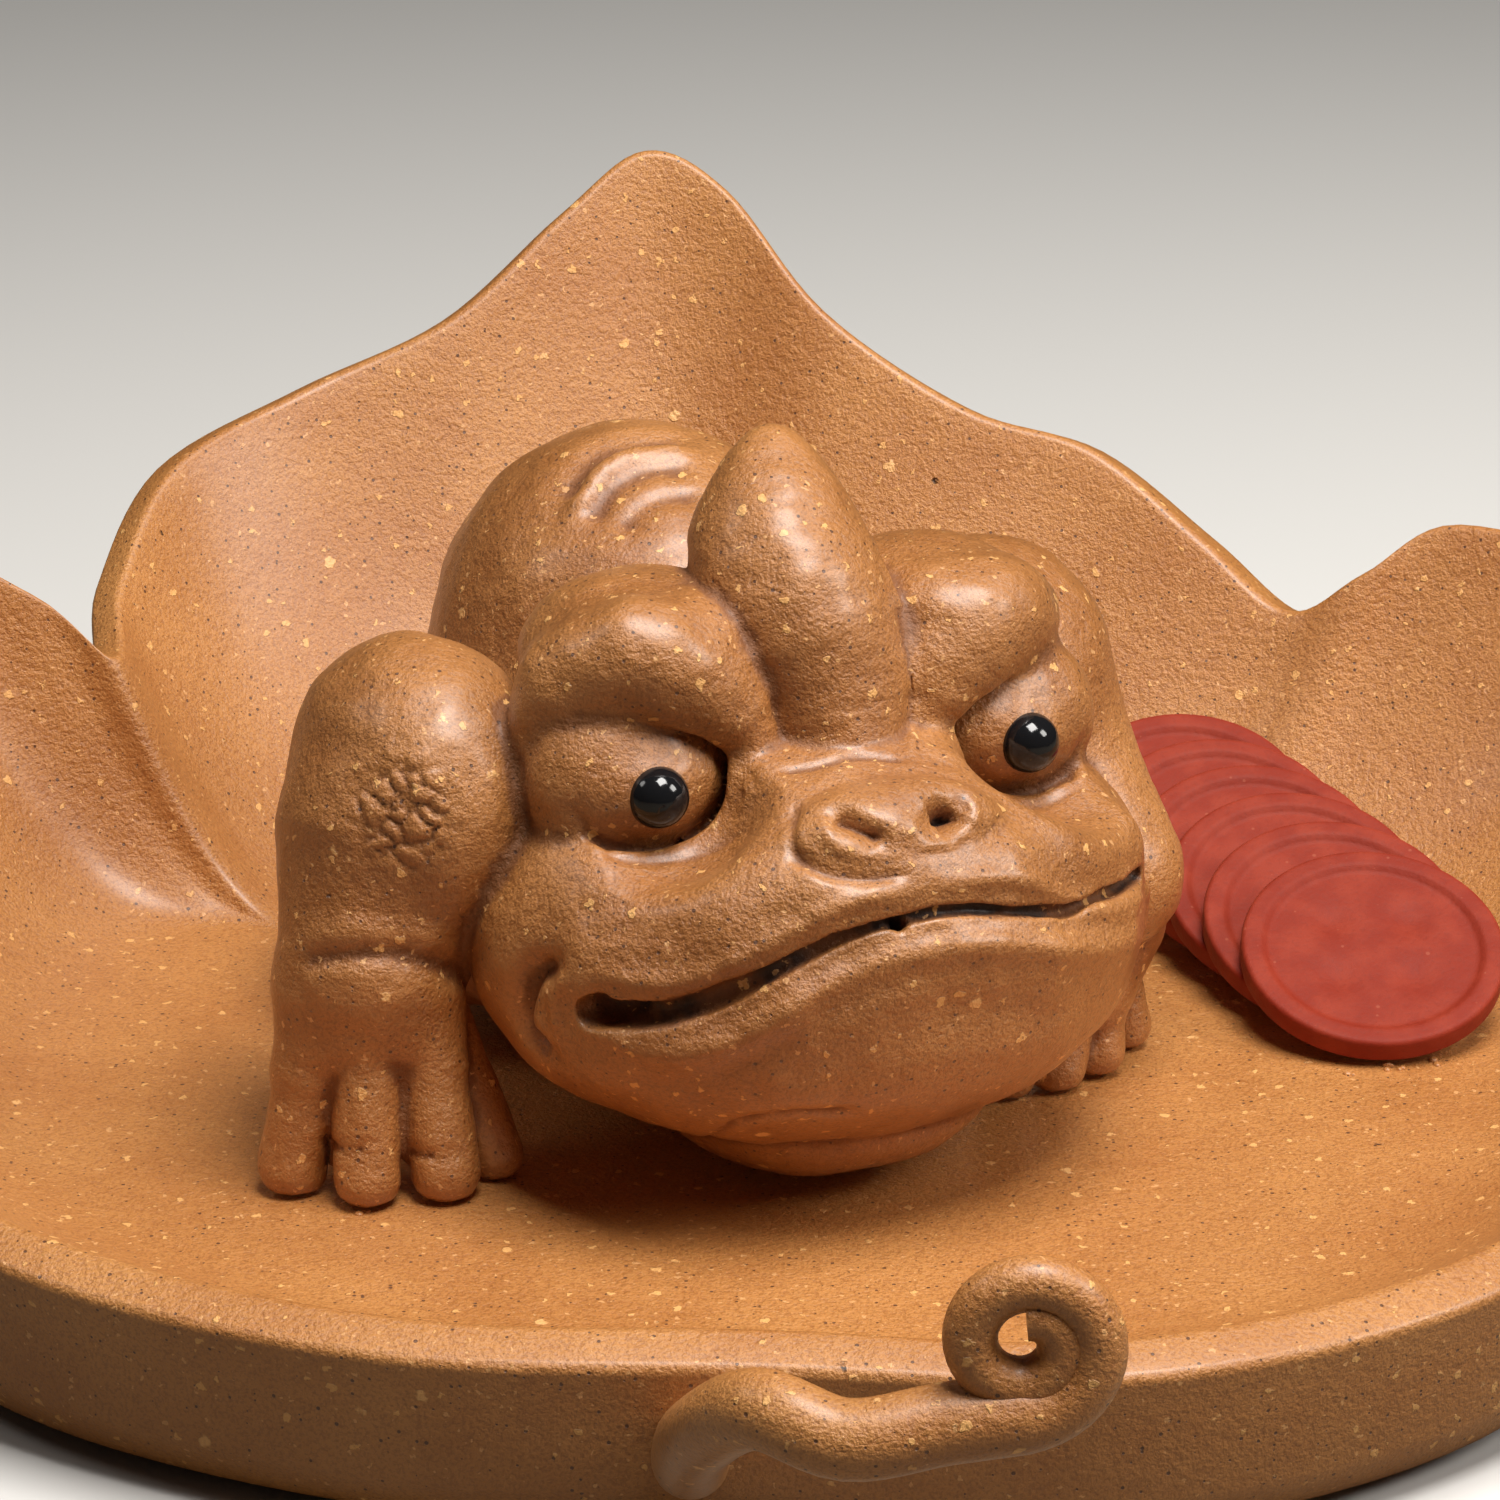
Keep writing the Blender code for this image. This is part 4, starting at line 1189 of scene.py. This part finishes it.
row = Nodes("coin_row", {"Coin": ("Object", None), "Tilt": ("Float", 0.0), "Fan": ("Float", 0.0), "Clay": ("Material", None)})
points = row.make("GeometryNodeMeshToPoints", None, {"Mesh": row.given["Geometry"]})
index = row.make("GeometryNodeInputIndex")
lean = row.make("ShaderNodeMath", {"operation": "MULTIPLY_ADD"}, {0: index, 1: row.given["Fan"], 2: row.given["Tilt"]})
spin = row.make("ShaderNodeCombineXYZ", None, {"X": lean})
coin = row.make("GeometryNodeObjectInfo", None, {"Object": row.given["Coin"]}, "Geometry")
stood = row.make("GeometryNodeInstanceOnPoints", None, {"Points": points, "Instance": coin, "Rotation": spin})
row.end(stood, row.given["Clay"])
values = {"Coin": mould, "Tilt": COIN_TILT, "Fan": COIN_FAN, "Clay": coin_clay}
coins = row.grow(add_object("coin_spots", spots), values, "coin_row")
bpy.data.objects.remove(mould)
coins.data.shade_smooth()
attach(coins, BODY)
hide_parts(*coin_nodes)
print("coins:", len(coin_nodes), "with", len(coins.data.polygons), "faces")

# %% [markdown]
# ## Crumbs of slip
#
# Where the toes and the front coin were joined to the dish, a little slip was pressed out and
# dried in crumbs. Small patches mark those places on the floor of the dish, and Geometry Nodes
# strews lumps of random size over them.

# %% Crumbs
CRUMB_PLACES = [((1398, 1068), 1.3), ((1350, 1074), 0.9), ((327, 1212), 0.8), ((364, 1213), 0.8), ((1440, 1062), 0.9)]
CRUMB_SIZE = 0.34
CRUMB_SEED = 4


def on_dish(pixel):
    """Where the ray through a place in the picture meets the floor of the dish."""
    ray = picture_rays([pixel])[0]
    return to_frame((camera_in_toad - ray * camera_in_toad[2] / ray[2])[None])[0]


bm = bmesh.new()
for pixel, reach in CRUMB_PLACES:
    spot = Matrix.Translation(Vector(on_dish(pixel))) @ Matrix.Diagonal((1, 0.5, 1, 1))
    bmesh.ops.create_circle(bm, cap_ends=True, segments=16, radius=reach * MM, matrix=spot)
patches = bpy.data.meshes.new("crumb_patches")
bm.to_mesh(patches)
bm.free()
strew = Nodes("strewn_crumbs", {"Density": ("Float", 1.0), "Size": ("Float", 0.001), "Seed": ("Int", 0), "Clay": ("Material", None)})
density = {"Mesh": strew.given["Geometry"], "Density": strew.given["Density"], "Seed": strew.given["Seed"]}
points = strew.make("GeometryNodeDistributePointsOnFaces", None, density)
lump = strew.make("GeometryNodeMeshIcoSphere", None, {"Radius": strew.given["Size"], "Subdivisions": 3})
factor = {"Min": (0.4, 0.4, 0.4), "Max": (1.2, 1.1, 0.8), "Seed": strew.given["Seed"]}
scale = strew.make("FunctionNodeRandomValue", {"data_type": "FLOAT_VECTOR"}, factor)
placed = strew.make("GeometryNodeInstanceOnPoints", None, {"Points": points, "Instance": lump, "Scale": scale})
strew.end(placed, strew.given["Clay"])
values = {"Density": 2.2e6, "Size": CRUMB_SIZE * MM, "Seed": CRUMB_SEED, "Clay": dish_clay}
crumbs = strew.grow(add_object("crumb_patches", patches), values, "slip_crumbs")
crumbs.data.shade_smooth()
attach(crumbs, BODY)
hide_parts("leaf_dish")
print("crumbs:", len(crumbs.data.polygons), "faces")

# %% [markdown]
# ## Floor and light
#
# The ornament stands on a plain pale floor. A soft lamp hangs over it, a little to the front,
# so that everything that faces up is bright, what faces the camera is dim and the undersides
# only get light from the clay round them. Two weaker lamps stand to the sides.

# %% Floor
FLOOR_SIDE = 3.0


def pale_floor():
    recipe = Recipe("pale_floor")
    shown = recipe.make("LightPath", None, None, "Is Camera Ray")
    plain = recipe.make("BsdfDiffuse", None, {"Color": (0.2, 0.17, 0.13, 1)})
    bright = recipe.make("BsdfDiffuse", None, {"Color": (0.7, 0.69, 0.67, 1)})
    return recipe.finish(recipe.make("MixShader", None, {0: shown, 1: plain, 2: bright}))


bm = bmesh.new()
bmesh.ops.create_grid(bm, x_segments=1, y_segments=1, size=FLOOR_SIDE / 2)
floor_mesh = bpy.data.meshes.new("floor")
bm.to_mesh(floor_mesh)
bm.free()
floor = add_object("floor", floor_mesh)
floor.data.materials.append(pale_floor())
print("floor", FLOOR_SIDE, "m wide")

# %% Lamps and room
LAMPS = {
    "overhead": ((0.08, -0.1, 0.46), 0.22, 3.1, (1.0, 0.97, 0.93)),
    "right": ((0.32, -0.1, 0.26), 0.13, 0.7, (1.0, 0.97, 0.92)),
    "left": ((-0.3, 0.0, 0.3), 0.1, 0.15, (1.0, 0.97, 0.92)),
}


def add_lamp(name, place, side, power, colour):
    data = bpy.data.lights.new(name, "AREA")
    data.size = side
    data.energy = power
    data.color = colour
    lamp = bpy.data.objects.new(name, data)
    bpy.context.scene.collection.objects.link(lamp)
    lamp.location = place
    aim = Vector(TOAD_PLACE * MM) - Vector(place)
    lamp.rotation_euler = aim.to_track_quat("-Z", "Y").to_euler()


for name, (place, side, power, colour) in LAMPS.items():
    add_lamp(name, place, side, power, colour)

world = bpy.data.worlds.new("room")
bpy.context.scene.world = world
world.use_nodes = True
room = world.node_tree.nodes["Background"]
room.inputs["Color"].default_value = (0.95, 0.92, 0.88, 1)
room.inputs["Strength"].default_value = 0.02
bpy.context.scene.view_settings.view_transform = "Standard"
print(len(LAMPS), "lamps")
